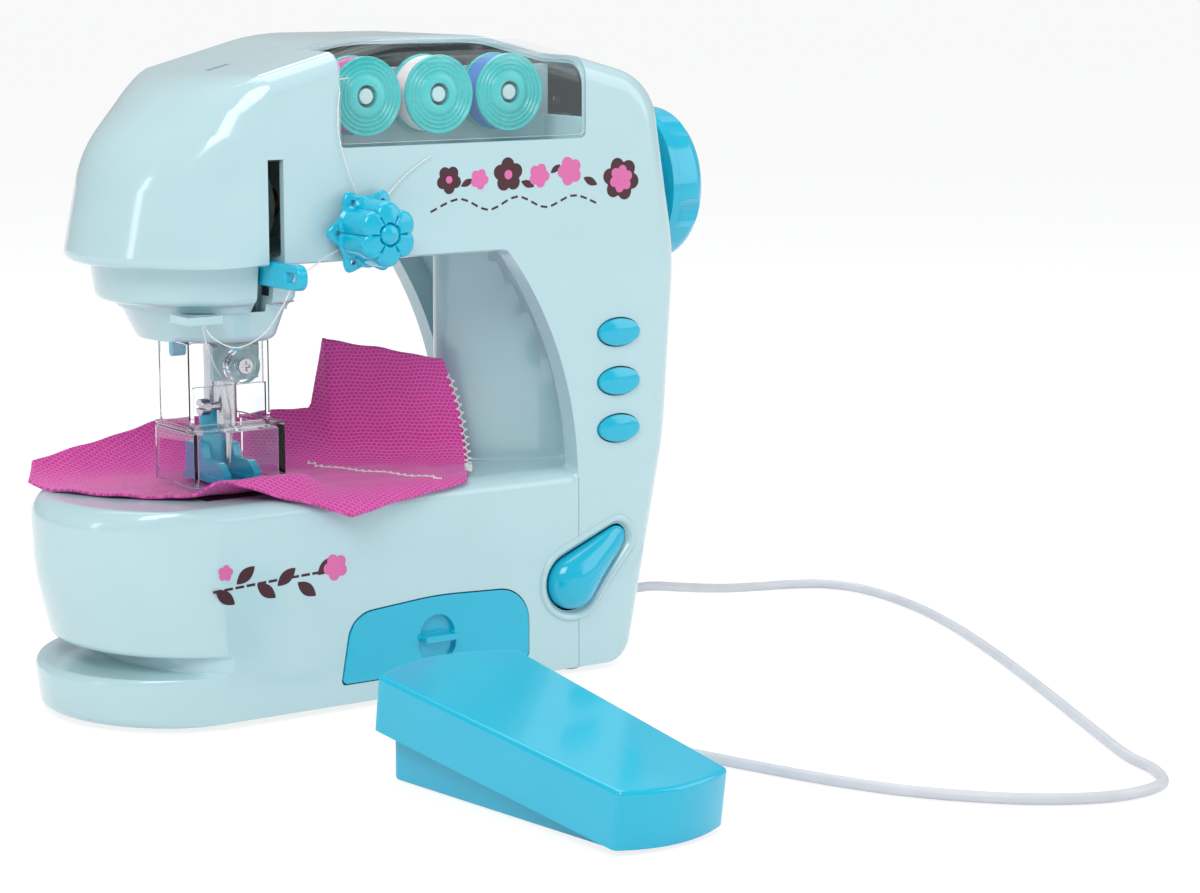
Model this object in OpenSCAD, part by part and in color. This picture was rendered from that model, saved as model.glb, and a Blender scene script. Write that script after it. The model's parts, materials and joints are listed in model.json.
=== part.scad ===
// Toy sewing machine with a foot pedal on a lead, as an assembly of separate pieces.
// Millimetres. X runs to the handwheel, Y to the back, Z up. Z = 0 is the table.

/* [Casing] */
// Depth of the two casing halves together
casing_depth = 89; // [86:1:96]
// Wall of the casing halves
wall = 2.5; // [2:0.1:3]
// Rounding where the front and back faces meet the sides
edge_r = 7; // [5:0.5:8]
// Height of the arm's underside
arm_z = 144; // [142:0.5:146]
// Height of the arm's crest
crest_z = 213.5; // [211:0.5:218]
// Height of the base's top
bed_z = 70; // [69:0.5:71]
// Height of the casing's underside, which is the height of the feet
rim_z = 1.6; // [1.4:0.1:2.6]
// Left end of the head
nose_x = -94; // [-98:1:-92]
// Left end of the base
bed_x = -107.5; // [-112:1:-104]
// Right end of the casing at its edge
right_x = 106.5; // [105:0.5:110]
// How far the right end bulges at mid depth
bulge = 9; // [7:0.5:10]
// Radius of the throat's arc on the front and back plates
throat_r = 127; // [124:1:130]
// Thickness of the plates that edge the throat
plate_t = 7.5; // [6:0.5:9]
// How far the throat is recessed behind those plates
groove = 9; // [6:0.5:10]
// Nose of the round pillar in the throat
pillar_x = 38; // [36:0.5:40]
// Diameter of the round feet
foot_d = 9; // [7:0.5:12]

/* [Sewing head] */
// Needle, from left to right
needle_x = -47; // [-49:0.5:-45]
// Needle, from front to back
needle_y = -10; // [-11:0.5:-9]
// Diameter of the needle bar
needle_bar_d = 6.5; // [5:0.1:7]
// Lower end of the needle bar at rest
needle_bar_z = 91; // [89:0.5:93]
// Length of needle below its bar
needle_len = 16; // [14:0.5:17]
// How far the presser bar stands behind the needle bar
presser_gap = 11; // [10:0.5:13]
// Diameter of the presser bar
presser_d = 4.6; // [4:0.1:5]
// Height of the presser foot's sole above the bed
sole_gap = 2.6; // [2.2:0.1:4]
// Thickness of the take-up lever
lever_t = 3.4; // [2.5:0.1:4]
// Length of the take-up lever in front of its pivot
lever_len = 39; // [34:1:42]
// Inner width of the clear guard
guard_w = 25.2; // [24:0.2:27]
// Wall of the clear guard
guard_t = 1.8; // [1.4:0.1:2.2]

/* [Drive] */
// Height of the main shaft
shaft_z = 160; // [158:0.5:162]
// Diameter of both shafts
shaft_d = 6; // [5:0.1:7]
// Height of the lower shaft
lower_z = 50; // [48:0.5:51]
// Module of the gear teeth
gear_m = 1; // [0.9:0.05:1.1]
// Teeth of the drive gear
gear_teeth = 50; // [46:2:52]
// Teeth of the motor pinion
pinion_teeth = 10; // [10:1:12]
// Radius of the crank pin's circle
crank_r = 9; // [7:0.5:9]
// Radius of the belt pulleys
pulley_r = 9; // [7:0.5:10]
// Radius of the handwheel
wheel_r = 28; // [25:0.5:30]
// Width of the handwheel
wheel_w = 18; // [14:1:22]
// Diameter of the motor
motor_d = 20.4; // [18:0.2:22]
// Length of the motor
motor_l = 25; // [20:1:27]

/* [Controls] */
// Width of an oval button
button_w = 17.2; // [14:0.2:19]
// Height of an oval button
button_h = 10; // [8:0.2:11]
// Travel of a button
button_travel = 1.2; // [0.8:0.1:1.4]
// Diameter of the tension knob
knob_d = 20.7; // [18:0.1:22]
// Diameter of the wavy flange behind the knob
knob_flange_d = 28.6; // [24:0.2:30]
// Length of the tension knob
knob_l = 13.5; // [11:0.5:16]
// Radius of the switch at its fat end
switch_r = 9.5; // [8:0.1:10]

/* [Spools] */
// Diameter of a spool's flanges
spool_d = 25.3; // [22:0.1:26]
// Length of a spool
spool_l = 11; // [9:0.5:13]
// Distance between spools
spool_pitch = 27; // [26.5:0.1:28]
// Diameter of the wound thread
thread_d = 21; // [16:0.5:22]
// Diameter of a spool's peg
peg_d = 5; // [4:0.1:6]

/* [Drawer and battery] */
// Depth of the drawer's box behind its front
drawer_l = 37; // [30:1:39]
// Wall of the drawer
drawer_t = 1.5; // [1.2:0.1:2.5]
// Diameter of one battery cell
cell_d = 14.5; // [14:0.1:14.6]
// Length of one battery cell
cell_l = 50.5; // [49:0.5:51]

/* [Pedal and lead] */
// Width of the treadle at its hinged end
pedal_near_w = 39.5; // [38:0.5:44]
// Width of the treadle at its free end
pedal_far_w = 52; // [46:0.5:56]
// Length of the treadle between its corners
pedal_l = 102; // [98:1:106]
// Height of the treadle's walls
pedal_h = 17; // [15:0.5:19]
// Slope of the treadle at rest
pedal_slope = 8; // [6.5:0.5:9]
// Wall of the pedal's two shells
pedal_t = 2; // [1.6:0.1:2.2]
// Width of the tray at its hinged end
base_w = 32; // [28:0.5:33]
// Diameter of the lead
cord_d = 3.4; // [3:0.1:3.6]

/* [Cloth] */
// Thickness of the cloth sample
cloth_t = 0.9; // [0.6:0.1:1]

/* [Fits] */
// Radial clearance of a shaft or pin in its bore
fit = 0.05; // [0.02:0.01:0.08]
// Gap round a cover or panel in its opening
gap = 0.4; // [0.3:0.05:0.5]
// Gap between a turning piece and what it passes
run_gap = 0.5; // [0.35:0.05:0.7]

/* [Hidden] */
$fn = 48;

// Colours of the mouldings
shell_colour = "#b7dde0";
blue = "#2cb4da";
turquoise = "#3ecdcd";
steel = "#c9ccd0";
white_plastic = "#e9ecec";

// Places worked out from the driving sizes
half = casing_depth / 2;
front_y = -half;
cut = 1;
nose_c = -46;
bed_c = -60;
notch_x = -86;
throat_c = [-61.3, 66];
pillar_k = 0.077;
flank_step = 0.2;
inner_floor = rim_z + wall;
inner_face = half - wall;
sunk = 0.8;
presser_y = needle_y + presser_gap;

// Small geometry helpers

function unit(v) = v / norm(v);
function turned(p, angle) = [p[0] * cos(angle) - p[1] * sin(angle), p[0] * sin(angle) + p[1] * cos(angle)];
function clamp01(v) = max(0, min(1, v));
function smooth01(v) = let(s = clamp01(v)) s * s * (3 - 2 * s);
function flat(lists) = [for (l = lists) each l];

// Arc of m steps and radius r in the corner b of the path a, b, c
function round_corner(a, b, c, r, m) =
    m == 0 ? [b] :
    let(u = unit(b - a), v = unit(c - b),
        side = sign(cross(u, v)),
        turn = acos(max(-1, min(1, u * v))),
        t = min(r * tan(turn / 2), 0.48 * min(norm(b - a), norm(c - b))),
        q = t / tan(turn / 2),
        centre = b - u * t + side * q * [-u[1], u[0]])
    [for (i = [0 : m]) centre + turned(side * q * [u[1], -u[0]], side * turn * i / m)];

// Outline through corners given as [x, y, radius, steps]
function rounded(cs) =
    let(n = len(cs), p = [for (c = cs) [c[0], c[1]]])
    [for (i = [0 : n - 1]) each round_corner(p[(i + n - 1) % n], p[i], p[(i + 1) % n], cs[i][2], cs[i][3])];

// Corner b moved inward by d1 from the edge before it and d2 from the edge after it
function inset_point(a, b, c, d1, d2) =
    let(u = unit(b - a), v = unit(c - b), k = cross(u, v),
        n1 = [-u[1], u[0]], n2 = [-v[1], v[0]], w = n2 * d2 - n1 * d1)
    abs(k) < 0.005 ? b + n1 * d1 : b + n1 * d1 + u * (cross(w, v) / k);

// Corners moved inward by t, and by e times each edge's own share, which is the fifth value
function inset(cs, t, e) =
    let(n = len(cs), p = [for (c = cs) [c[0], c[1]]])
    [for (i = [0 : n - 1])
        let(a = p[(i + n - 1) % n], b = p[i], c = p[(i + 1) % n],
            d1 = t + e * cs[(i + n - 1) % n][4], d2 = t + e * cs[i][4],
            side = sign(cross(b - a, c - b)),
            q = cs[i][3] == 0 ? b : inset_point(a, b, c, d1, d2))
        [q[0], q[1], max(0.3, cs[i][2] - side * (d1 + d2) / 2), cs[i][3]]];

// Triangles that fill a flat outline p, one ear clipped at a time from the places ids
function turn_of(a, b, c) = cross(b - a, c - a);
function holds(q, a, b, c) = turn_of(a, b, q) > 0 && turn_of(b, c, q) > 0 && turn_of(c, a, q) > 0;
function ear_at(p, ids, i) =
    let(n = len(ids), a = p[ids[(i + n - 1) % n]], b = p[ids[i % n]], c = p[ids[(i + 1) % n]])
    i >= n || (turn_of(a, b, c) > 0 && len([for (k = ids) if (holds(p[k], a, b, c)) k]) == 0) ?
        i % n : ear_at(p, ids, i + 1);
function filled(p, ids) =
    len(ids) < 4 ? [ids] :
    let(n = len(ids), i = ear_at(p, ids, 0))
    concat([[ids[(i + n - 1) % n], ids[i], ids[(i + 1) % n]]],
        filled(p, [for (k = [0 : n - 1]) if (k != i) ids[k]]));

// Front-view shape carried from depth y0 to depth y1
module along_y(y0, y1) {
    translate([0, y1, 0]) rotate([90, 0, 0]) linear_extrude(y1 - y0) children();
}

module rod_x(x0, x1, y, z, d) {
    translate([x0, y, z]) rotate([0, 90, 0]) cylinder(h = x1 - x0, d = d);
}

module rod_y(y0, y1, x, z, d) {
    translate([x, y1, z]) rotate([90, 0, 0]) cylinder(h = y1 - y0, d = d);
}

module rod_z(z0, z1, x, y, d) {
    translate([x, y, z0]) cylinder(h = z1 - z0, d = d);
}

module block(x0, x1, y0, y1, z0, z1) {
    translate([x0, y0, z0]) cube([x1 - x0, y1 - y0, z1 - z0]);
}

// Ellipse as an outline of n points
module oval(w, h, n = 40) {
    polygon([for (i = [0 : n - 1]) [w / 2 * cos(360 * i / n), h / 2 * sin(360 * i / n)]]);
}

// Tube of radius r and s sides along points, closed at both ends
module tube_along(points, r, s) {
    n = len(points);
    rings = [for (i = [0 : n - 1])
        let(t = unit(points[min(i + 1, n - 1)] - points[max(i - 1, 0)]),
            a = unit(cross(t, abs(t[2]) > 0.9 ? [1, 0, 0] : [0, 0, 1])), b = cross(a, t))
        [for (j = [0 : s - 1]) points[i] + r * (cos(360 * j / s) * a + sin(360 * j / s) * b)]];
    sides = [for (i = [0 : n - 2], j = [0 : s - 1])
        let(a = i * s + j, b = i * s + (j + 1) % s)
        each [[a, a + s, b + s], [a, b + s, b]]];
    first = [[for (j = [0 : s - 1]) j]];
    last = [[for (j = [s - 1 : -1 : 0]) (n - 1) * s + j]];
    polyhedron(flat(rings), concat(sides, first, last));
}

// Casing outline and halves

// Edge of the throat on the plates, at height z
function throat_x(z) = throat_c[0] + sqrt(throat_r * throat_r - pow(z - throat_c[1], 2));

// Right wall of the throat at height z and depth y: plates, groove behind them, round pillar
function throat_wall(z, y) =
    abs(y) > half - plate_t - flank_step / 2 ? throat_x(z) :
    min(throat_x(z) + groove, pillar_x + pillar_k * y * y);

// The same wall seen from inside the hollow casing
function throat_inside(z, y) =
    min(throat_x(z) + groove + wall, pillar_x + wall + pillar_k * pow(abs(y) + wall, 2));

function throat_at(z, y, t) = t > 0 ? throat_inside(z, y) : throat_wall(z, y);

// Corners of the casing's front view at depth y, as [x, z, radius, steps, share of the edge rounding]
function casing_corners(y, t) = concat(
    [[bed_x + 2, rim_z, 3, 2, 0.1],
     [right_x - 18.5, rim_z, 9, 4, 1],
     [right_x - 4, 78, 120, 4, 1],
     [right_x, 140, 100, 4, 1],
     [right_x - 9.5, crest_z - 15, 20, 6, 1],
     [44, crest_z, 60, 4, 1],
     [-8, crest_z, 80, 4, 1],
     [nose_x + 32, crest_z - 13.5, 45, 4, 1],
     [nose_x + 8, crest_z - 35.5, 34, 4, 1],
     [nose_x, arm_z, 3, 2, 0.2],
     [throat_at(arm_z, y, t) - t, arm_z, 4, 3, 0]],
    [for (i = [1 : 6])
        let(z = arm_z + (bed_z - arm_z) * i / 7)
        [throat_at(z, y, t), z, 0, 0, 0]],
    [[throat_at(bed_z, y, t) - t, bed_z, 3, 3, 0.7],
     [bed_x, bed_z, 7, 4, 0],
     [bed_x + 1, 46, 60, 3, 0],
     [bed_x + 6.5, 24, 3, 2, 0],
     [notch_x, 22.5, 1, 1, 0],
     [notch_x, 18, 1, 1, 0],
     [bed_x, 17, 2.5, 3, 0]]);

// How far the edge rounding has drawn the outline in at depth y, for a face at depth limit
function edge_inset(y, limit) =
    let(u = max(0, abs(y) - limit + edge_r)) edge_r - sqrt(max(0, edge_r * edge_r - u * u));

// Elliptical left ends and the bulged right end
function in_plan(p, y, t) =
    let(c = p[1] > (arm_z + bed_z) / 2 ? nose_c : bed_c,
        s = sqrt(max(0, 1 - pow(y / (half + 0.5 - t), 2))),
        swell = bulge * (1 - pow(y / half, 2)) * clamp01((p[0] - 75) / 25))
    [p[0] < c ? c + (p[0] - c) * s : p[0] + swell, y, p[1]];

function casing_ring(y, t) =
    [for (p = rounded(inset(casing_corners(y, t), t, edge_inset(y, half - t)))) in_plan(p, y, t)];

outer_layers = [0, 8, 15, 20, half - 17, half - plate_t - flank_step, half - plate_t,
    half - 0.6 * edge_r, half - 0.28 * edge_r, half - 0.08 * edge_r, half];
function inner_layers(t) = [0, 8, 15, 20, half - 14, half - t - 0.75 * edge_r,
    half - t - 0.35 * edge_r, half - t - 0.1 * edge_r, half - t];

// Front half of a shell with the casing's outer form and a wall of thickness t
module half_shell(t) {
    outer = [for (y = outer_layers) casing_ring(-y, 0)];
    inner = [for (y = inner_layers(t)) casing_ring(-y, t)];
    n = len(outer[0]);
    m = len(outer);
    k = len(inner);
    o = n * m;
    outer_faces = [for (j = [0 : m - 2], i = [0 : n - 1])
        let(a = j * n + i, b = j * n + (i + 1) % n)
        each [[a, a + n, b + n], [a, b + n, b]]];
    inner_faces = [for (j = [0 : k - 2], i = [0 : n - 1])
        let(a = o + j * n + i, b = o + j * n + (i + 1) % n)
        each [[a, b + n, a + n], [a, b, b + n]]];
    rim_faces = [for (i = [0 : n - 1])
        let(a = i, b = (i + 1) % n)
        each [[a, b, o + b], [a, o + b, o + a]]];
    front = [for (f = filled([for (p = outer[m - 1]) [p[0], p[2]]], [for (i = [0 : n - 1]) i]))
        [for (i = [2, 1, 0]) (m - 1) * n + f[i]]];
    back = [for (f = filled([for (p = inner[k - 1]) [p[0], p[2]]], [for (i = [0 : n - 1]) i]))
        [for (i = f) o + (k - 1) * n + i]];
    polyhedron(concat(flat(outer), flat(inner)), concat(outer_faces, inner_faces, rim_faces, front, back));
}

// Openings that both halves share

// Plan of the sewing head's lower rings: round left end, square right end with rounded corners
module head_plan(x0, x1, hy, r) {
    arc = [for (i = [0 : 16]) let(a = 90 + 180 * i / 16) [nose_c + (nose_c - x0) * cos(a), hy * sin(a)]];
    corners = [for (s = [-1, 1], i = [0 : 6])
        let(a = (s < 0 ? -90 : 0) + 15 * i)
        [x1 - r + r * cos(a), s * (hy - r) + r * sin(a)]];
    polygon(concat(arc, corners));
}

// Driving places of the head's lower rings
collar_x0 = nose_x + 9;
collar_x1 = needle_x + 14;
collar_hy = half - 7;
cup_z = 119;
cup_floor = 3;
step_z = 131.5;
neck = 5;

module head_opening() {
    translate([0, 0, arm_z - cut])
        linear_extrude(wall + 3 * cut) head_plan(collar_x0 + neck, collar_x1 - neck, collar_hy - neck, 8);
}

// Needle plate's opening in the bed
plate_x0 = needle_x - 17;
plate_x1 = needle_x + 17;
plate_y0 = needle_y - 18;
plate_y1 = needle_y + 22;

module plate_opening() {
    block(plate_x0, plate_x1, plate_y0, plate_y1, bed_z - wall - cut, bed_z + cut);
}

shaft_hole_d = shaft_d + 4;

// Casing screws: places in the front view
screw_d = 3;
screw_head_d = 5.6;
post_d = 8;
screw_y0 = -14;
screw_y1 = 26;
screw_places = [[6, arm_z + wall + 5], [78, 191], [-56, 13], [67.5, 14], [66, 60]];

module screw_posts() {
    intersection() {
        for (p = screw_places) rod_y(-inner_face - cut, 0, p[0], p[1], post_d);
        block(nose_x, right_x, -inner_face - sunk, 0, 0, crest_z);
    }
}

// Window over the spools
window_x0 = -23.7;
window_x1 = 69;
window_z = 180;
window_y = front_y + 26.5;
lid_t = 1.6;
lid_hinge_y = front_y + 1.3;
lid_hinge_z = window_z + 2.7;
lid_pin_d = 1.4;

module window_shape(g) {
    polygon(rounded([[window_x0 + g, window_z + g, 2, 3], [window_x1 - g, window_z + g, 2, 3],
        [window_x1 - g, crest_z + 10, 1, 1], [window_x0 + g, crest_z + 10, 1, 1]]));
}

// Drawer front: arched, with round upper corners
drawer_x0 = -26;
drawer_x1 = 46;
drawer_z0 = 8.5;
drawer_z1 = 33.5;

module drawer_shape(g) {
    polygon(rounded([[drawer_x0 + g, drawer_z0 + g, 1.5, 3], [drawer_x1 - g, drawer_z0 + g, 1.5, 3],
        [drawer_x1 - g, drawer_z1 - 1 - g, 15, 8], [10, drawer_z1 + 0.6 - g, 120, 4],
        [drawer_x0 + 4 + g, drawer_z1 - 2 - g, 10, 7]]));
}

// Oval buttons up the column
button_x = 82;
button_zs = [114.9, 98.4, 82.4];

// Teardrop switch: fat end, slim end and the hollow on its lower right side
switch_c = [63.5, 31.7];
switch_tip_r = 4;
switch_len = 22.5;
switch_tilt = 37;
switch_mid = 9.3;

module switch_shape(g) {
    n = 12;
    fat = [for (i = [0 : n]) let(a = 75 + 200 * i / n) (switch_r - g) * [cos(a), sin(a)]];
    tip = [for (i = [0 : n]) let(a = -75 + 155 * i / n)
        [switch_len, 0] + (switch_tip_r - g) * [cos(a), sin(a)]];
    hollow = [[switch_r, -switch_r * 0.72 + g]];
    translate(switch_c) rotate(switch_tilt) polygon(concat(fat, hollow, tip));
}

// Slot of the take-up lever
slot_x = needle_x + 0.5;
slot_w = lever_t + 2;
slot_z1 = 177.3;
slot_z0 = 129;

module lever_slot() {
    block(slot_x - slot_w / 2, slot_x + slot_w / 2, front_y - cut, -26.5, slot_z0, slot_z1);
}

knob_x = -16.5;
knob_z = 154;
stud_d = 5;

// Jack for the pedal's lead in the right end
jack_y = -8;
jack_z = 17;
jack_d = 9;
jack_x = 97;

board_posts = [[94, 106.6], [94, 90.4]];
board_y = front_y + 9;

// Rails that carry the drawer
rail_xs = [-17, 36];
rail_w = 3;
rail_gap = 0.2;
box_z0 = drawer_z0 + 1;

module front_casing() color(shell_colour) {
    difference() {
        union() {
            half_shell(wall);
            screw_posts();
            for (p = board_posts) rod_y(-inner_face - sunk, board_y, p[0], p[1], 5);
            for (x = rail_xs)
                block(x, x + rail_w, -inner_face - sunk, front_y + 40, inner_floor - sunk, box_z0 - rail_gap);
        }
        for (p = screw_places) rod_y(screw_y0 - cut, cut, p[0], p[1], screw_d + 2 * fit);
        head_opening();
        plate_opening();
        lever_slot();
        rod_y(front_y - cut, -inner_face + cut, knob_x, knob_z, stud_d + 2 * fit);
        along_y(front_y - cut, window_y) window_shape(0);
        for (z = button_zs)
            along_y(front_y - cut, -inner_face + cut) translate([button_x, z]) oval(button_w, button_h);
        for (z = button_zs)
            along_y(-inner_face - 0.1, -inner_face + 3) translate([button_x, z])
                oval(button_w + 3.2, button_h + 3.2);
        along_y(front_y - cut, -inner_face + cut) switch_shape(-run_gap);
        along_y(front_y - cut, -inner_face + cut) drawer_shape(0);
        for (x = [window_x0 - 2.4, window_x1 - cut])
            rod_x(x, x + 2.4 + cut, lid_hinge_y, lid_hinge_z, lid_pin_d + 2 * fit);
        rod_x(right_x - 40, right_x + 20, 0, shaft_z, shaft_hole_d);
        rod_x(right_x - 30, right_x + 10, jack_y, jack_z, jack_d);
        block(-49, -41, -6.5, -3, crest_z - 25, crest_z + cut);
    }
}

// Battery bay under the back of the base
bay_x0 = 4;
bay_wall = 1.5;
bay_y0 = 7;
cell_gap = 0.4;
cell_ys = [bay_y0 + bay_wall + cell_gap + cell_d / 2, bay_y0 + bay_wall + 2 * cell_gap + 1.5 * cell_d];
bay_y1 = cell_ys[1] + cell_d / 2 + cell_gap + bay_wall;
cell_zs = [inner_floor + cell_gap + cell_d / 2, inner_floor + 2 * cell_gap + 1.5 * cell_d];
bay_z1 = cell_zs[1] + cell_d / 2 + cell_gap + bay_wall;
contact_t = 1.4;
bay_x1 = bay_x0 + 2 * bay_wall + 2 * contact_t + cell_l + 2 * cell_gap;
door_screw_x = bay_x1 - 1;

module rear_casing() color(shell_colour) {
    difference() {
        mirror([0, 1, 0]) union() {
            half_shell(wall);
            screw_posts();
        }
        for (p = screw_places) {
            rod_y(-cut, screw_y1, p[0], p[1], screw_d + 2 * fit);
            rod_y(screw_y1 - 2.2, half + cut, p[0], p[1], screw_head_d + 0.4);
        }
        head_opening();
        plate_opening();
        rod_x(right_x - 40, right_x + 20, 0, shaft_z, shaft_hole_d);
        block(bay_x0 + bay_wall, bay_x1 - bay_wall, bay_y0 + bay_wall, bay_y1 - bay_wall,
            rim_z - cut, inner_floor + cut);
    }
}

// Cross-head screw standing along +Y from its tip at y0, with its head up to y1
module cross_screw(x, z, y0, y1, d, head_d, head_h) {
    difference() {
        union() {
            rod_y(y0, y1 - head_h, x, z, d);
            rod_y(y1 - head_h, y1, x, z, head_d);
        }
        for (a = [0, 90])
            translate([x, y1, z]) rotate([0, a, 0]) cube([head_d * 0.62, 1.6, 0.8], center = true);
    }
}

guard_screw_z = cup_z - 8;
tongue_y0 = needle_y - 6.2;
tongue_t = 2.2;
strap_y0 = tongue_y0 - guard_t - 0.1;
boss_l = 5;
boss_d = 11;
guard_c = needle_x - 3;

module fixing_screws() color(steel) {
    for (p = screw_places) cross_screw(p[0], p[1], screw_y0, screw_y1, screw_d, screw_head_d, 2.2);
    translate([0, strap_y0 - boss_l, 0]) mirror([0, 1, 0])
        cross_screw(needle_x, guard_screw_z, -boss_l - guard_t - tongue_t, 0.6, 3, 5, 2.4);
}

foot_places = [[-66, -30], [68, -34], [-66, 30], [68, 34], [0, -3]];

module rubber_feet() color("#9cc7cb") {
    for (p = foot_places) rod_z(0, rim_z, p[0], p[1], foot_d);
}

// Sewing head

// Thin slice of the head's plan at height z
module plan_slice(z, x0, x1, hy) {
    translate([0, 0, z - 0.1]) linear_extrude(0.1, $fn = 32) head_plan(x0, x1, hy, 6);
}

// Tapered ring between two slices
module head_ring(z0, z1, low, high) {
    hull() {
        plan_slice(z0 + 0.1, low[0], low[1], low[2]);
        plan_slice(z1, high[0], high[1], high[2]);
    }
}

cup_low = [collar_x0 + 15, collar_x1 - 3.5, collar_hy - 10];
cup_high = [collar_x0 + 8.5, collar_x1 - 1, collar_hy - 5.5];
function thinner(s, t) = [s[0] + t, s[1] - t, s[2] - t];
collar_low = [collar_x0 + 1.5, collar_x1 - 0.5, collar_hy - 1.5];
collar_high = [collar_x0, collar_x1, collar_hy];
lever_y = needle_y - 12;
lever_z = arm_z - 2;
lever_pin_d = 2.6;
ear_t = 2.2;
ear_gap = 0.4;
lifter_y = presser_y + 21;
lifter_z = cup_z + 9;
lifter_pin_d = 2.6;
lifter_t = 5;
guide_tab_x = needle_x - 19;

module head_cup() color(shell_colour) {
    difference() {
        union() {
            difference() {
                union() {
                    head_ring(step_z, arm_z, collar_low, collar_high);
                    head_ring(cup_z, step_z, cup_low, cup_high);
                }
                head_ring(step_z + wall, arm_z + cut, thinner(collar_low, wall), thinner(collar_high, wall));
                head_ring(cup_z + cup_floor, step_z + wall + cut,
                    thinner(cup_low, wall), thinner(cup_high, wall));
            }
            rod_z(cup_z, cup_z + 18, needle_x, needle_y, needle_bar_d + 5.5);
            rod_z(cup_z, cup_z + 14, needle_x, presser_y, presser_d + 4.4);
            for (s = [-1, 1])
                translate([slot_x + s * (lever_t / 2 + ear_gap + ear_t / 2), 0, 0])
                    block(-ear_t / 2, ear_t / 2, lever_y - 4, lever_y + 4,
                        cup_z + cup_floor - cut, lever_z + 3.5);
            for (s = [-1, 1])
                translate([needle_x + s * (lifter_t / 2 + ear_gap + ear_t / 2), 0, 0])
                    block(-ear_t / 2, ear_t / 2, lifter_y - 3.5, lifter_y + 1.2,
                        cup_z + cup_floor - cut, lifter_z + 3);
            block(needle_x - 8, needle_x + 8, tongue_y0, tongue_y0 + tongue_t, cup_z - 13, cup_z + cut);
            difference() {
                block(guide_tab_x - 6, guide_tab_x + 6, -collar_hy + 4, -collar_hy + 16,
                    cup_z + 7.5, cup_z + 10);
                block(guide_tab_x - 3.4, guide_tab_x + 3.4, -collar_hy + 6, -collar_hy + 8, cup_z, step_z);
            }
        }
        rod_z(cup_z - cut, step_z + 20, needle_x, needle_y, needle_bar_d + 2 * fit);
        rod_z(cup_z - cut, step_z + 20, needle_x, presser_y, presser_d + 2 * fit);
        rod_x(slot_x - 10, slot_x + 10, lever_y, lever_z, lever_pin_d + 2 * fit);
        rod_x(needle_x - 8, needle_x + 8, lifter_y, lifter_z, lifter_pin_d + 2 * fit);
        rod_y(tongue_y0 - cut, tongue_y0 + tongue_t + cut, needle_x, guard_screw_z, 3 + 2 * fit);
        lever_slot();
        block(needle_x - lifter_t / 2 - ear_gap, needle_x + lifter_t / 2 + ear_gap, lifter_y - 3.5, half,
            cup_z - cut, step_z + 1.5);
    }
}

yoke_z = shaft_z + 5;
yoke_h = 9;
needle_down = 13.5;
needle_up = 4;
presser_up = 6;
guide_z = yoke_z + yoke_h / 2 + needle_up + 1;
guide_t = 4;
web_x = needle_x + 23;
web_t = 4;
bush_d = shaft_d + 4;
frame_post = inner_face;

// Bracket inside the head: upper guide of both bars and the left bearing of the main shaft
module head_frame() color(white_plastic) {
    difference() {
        union() {
            block(needle_x - 9, web_x + web_t, needle_y - 5.6, presser_y + 7, guide_z, guide_z + guide_t);
            block(web_x, web_x + web_t, -9, frame_post, shaft_z - 11, guide_z + guide_t);
            block(web_x - 12, web_x + web_t, frame_post - 2.5, frame_post, shaft_z - 11, guide_z + guide_t);
        }
        rod_z(guide_z - cut, guide_z + guide_t + cut, needle_x, needle_y, needle_bar_d + 2 * fit);
        rod_z(guide_z - cut, guide_z + guide_t + cut, needle_x, presser_y, presser_d + 2 * fit);
        rod_x(web_x - cut, web_x + web_t + cut, 0, shaft_z, bush_d);
    }
}

// Right bearing of the main shaft and the seat of the motor
motor_drop = gear_m * (gear_teeth + pinion_teeth) / 2 + 0.25;
motor_z = shaft_z - motor_drop;
frame_x = 81;
frame_t = 4;
motor_boss_d = 6;

module drive_frame() color(white_plastic) {
    difference() {
        union() {
            block(frame_x, frame_x + frame_t, -13, frame_post, motor_z - 13, shaft_z + 11);
            block(frame_x - 12, frame_x + frame_t, frame_post - 2.5, frame_post, motor_z - 13, shaft_z + 11);
        }
        rod_x(frame_x - cut, frame_x + frame_t + cut, 0, shaft_z, bush_d);
        rod_x(frame_x - cut, frame_x + frame_t + cut, 0, motor_z, motor_boss_d + 2 * fit);
    }
}

base_web_xs = [-34, 78];
base_web_t = 4;
bed_under = bed_z - wall;
window_margin = 6;
feed_rod_d = 4;
feed_rod_z = bed_z - 10.5;
feed_rod_y1 = needle_y + 36;

// Frame in the base: both lower bearings, the needle plate's seat and the feed dog's guide
module base_frame() color(white_plastic) {
    difference() {
        union() {
            for (x = base_web_xs) block(x, x + base_web_t, -8, 6.5, inner_floor, lower_z + 9);
            block(base_web_xs[0], base_web_xs[1] + base_web_t, 2.5, 6.5, inner_floor, inner_floor + 4);
            block(base_web_xs[0], base_web_xs[0] + base_web_t, -8, 6.5, lower_z, bed_under);
            block(plate_x0 - 3, base_web_xs[0] + base_web_t, plate_y0 - 3, plate_y1 + 5,
                bed_under - 3, bed_under);
            block(needle_x - 5, needle_x + 5, plate_y1 - 4, plate_y1 + 5, feed_rod_z - 4, bed_under);
        }
        block(plate_x0 + 4, plate_x1 - 5, plate_y0 + 3, plate_y1 - 5, bed_under - 4, bed_under + cut);
        rod_y(plate_y1 - 5, plate_y1 + 6, needle_x, feed_rod_z, feed_rod_d + 2 * fit);
        for (x = base_web_xs) rod_x(x - cut, x + base_web_t + cut, 0, lower_z, bush_d);
    }
}

module bush(x0, x1, z) {
    difference() {
        rod_x(x0, x1, 0, z, bush_d);
        rod_x(x0 - cut, x1 + cut, 0, z, shaft_d + 2 * fit);
    }
}

module shaft_bushes() color("#b08d57") {
    bush(web_x, web_x + web_t, shaft_z);
    bush(frame_x, frame_x + frame_t, shaft_z);
    for (x = base_web_xs) bush(x, x + base_web_t, lower_z);
}

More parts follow.
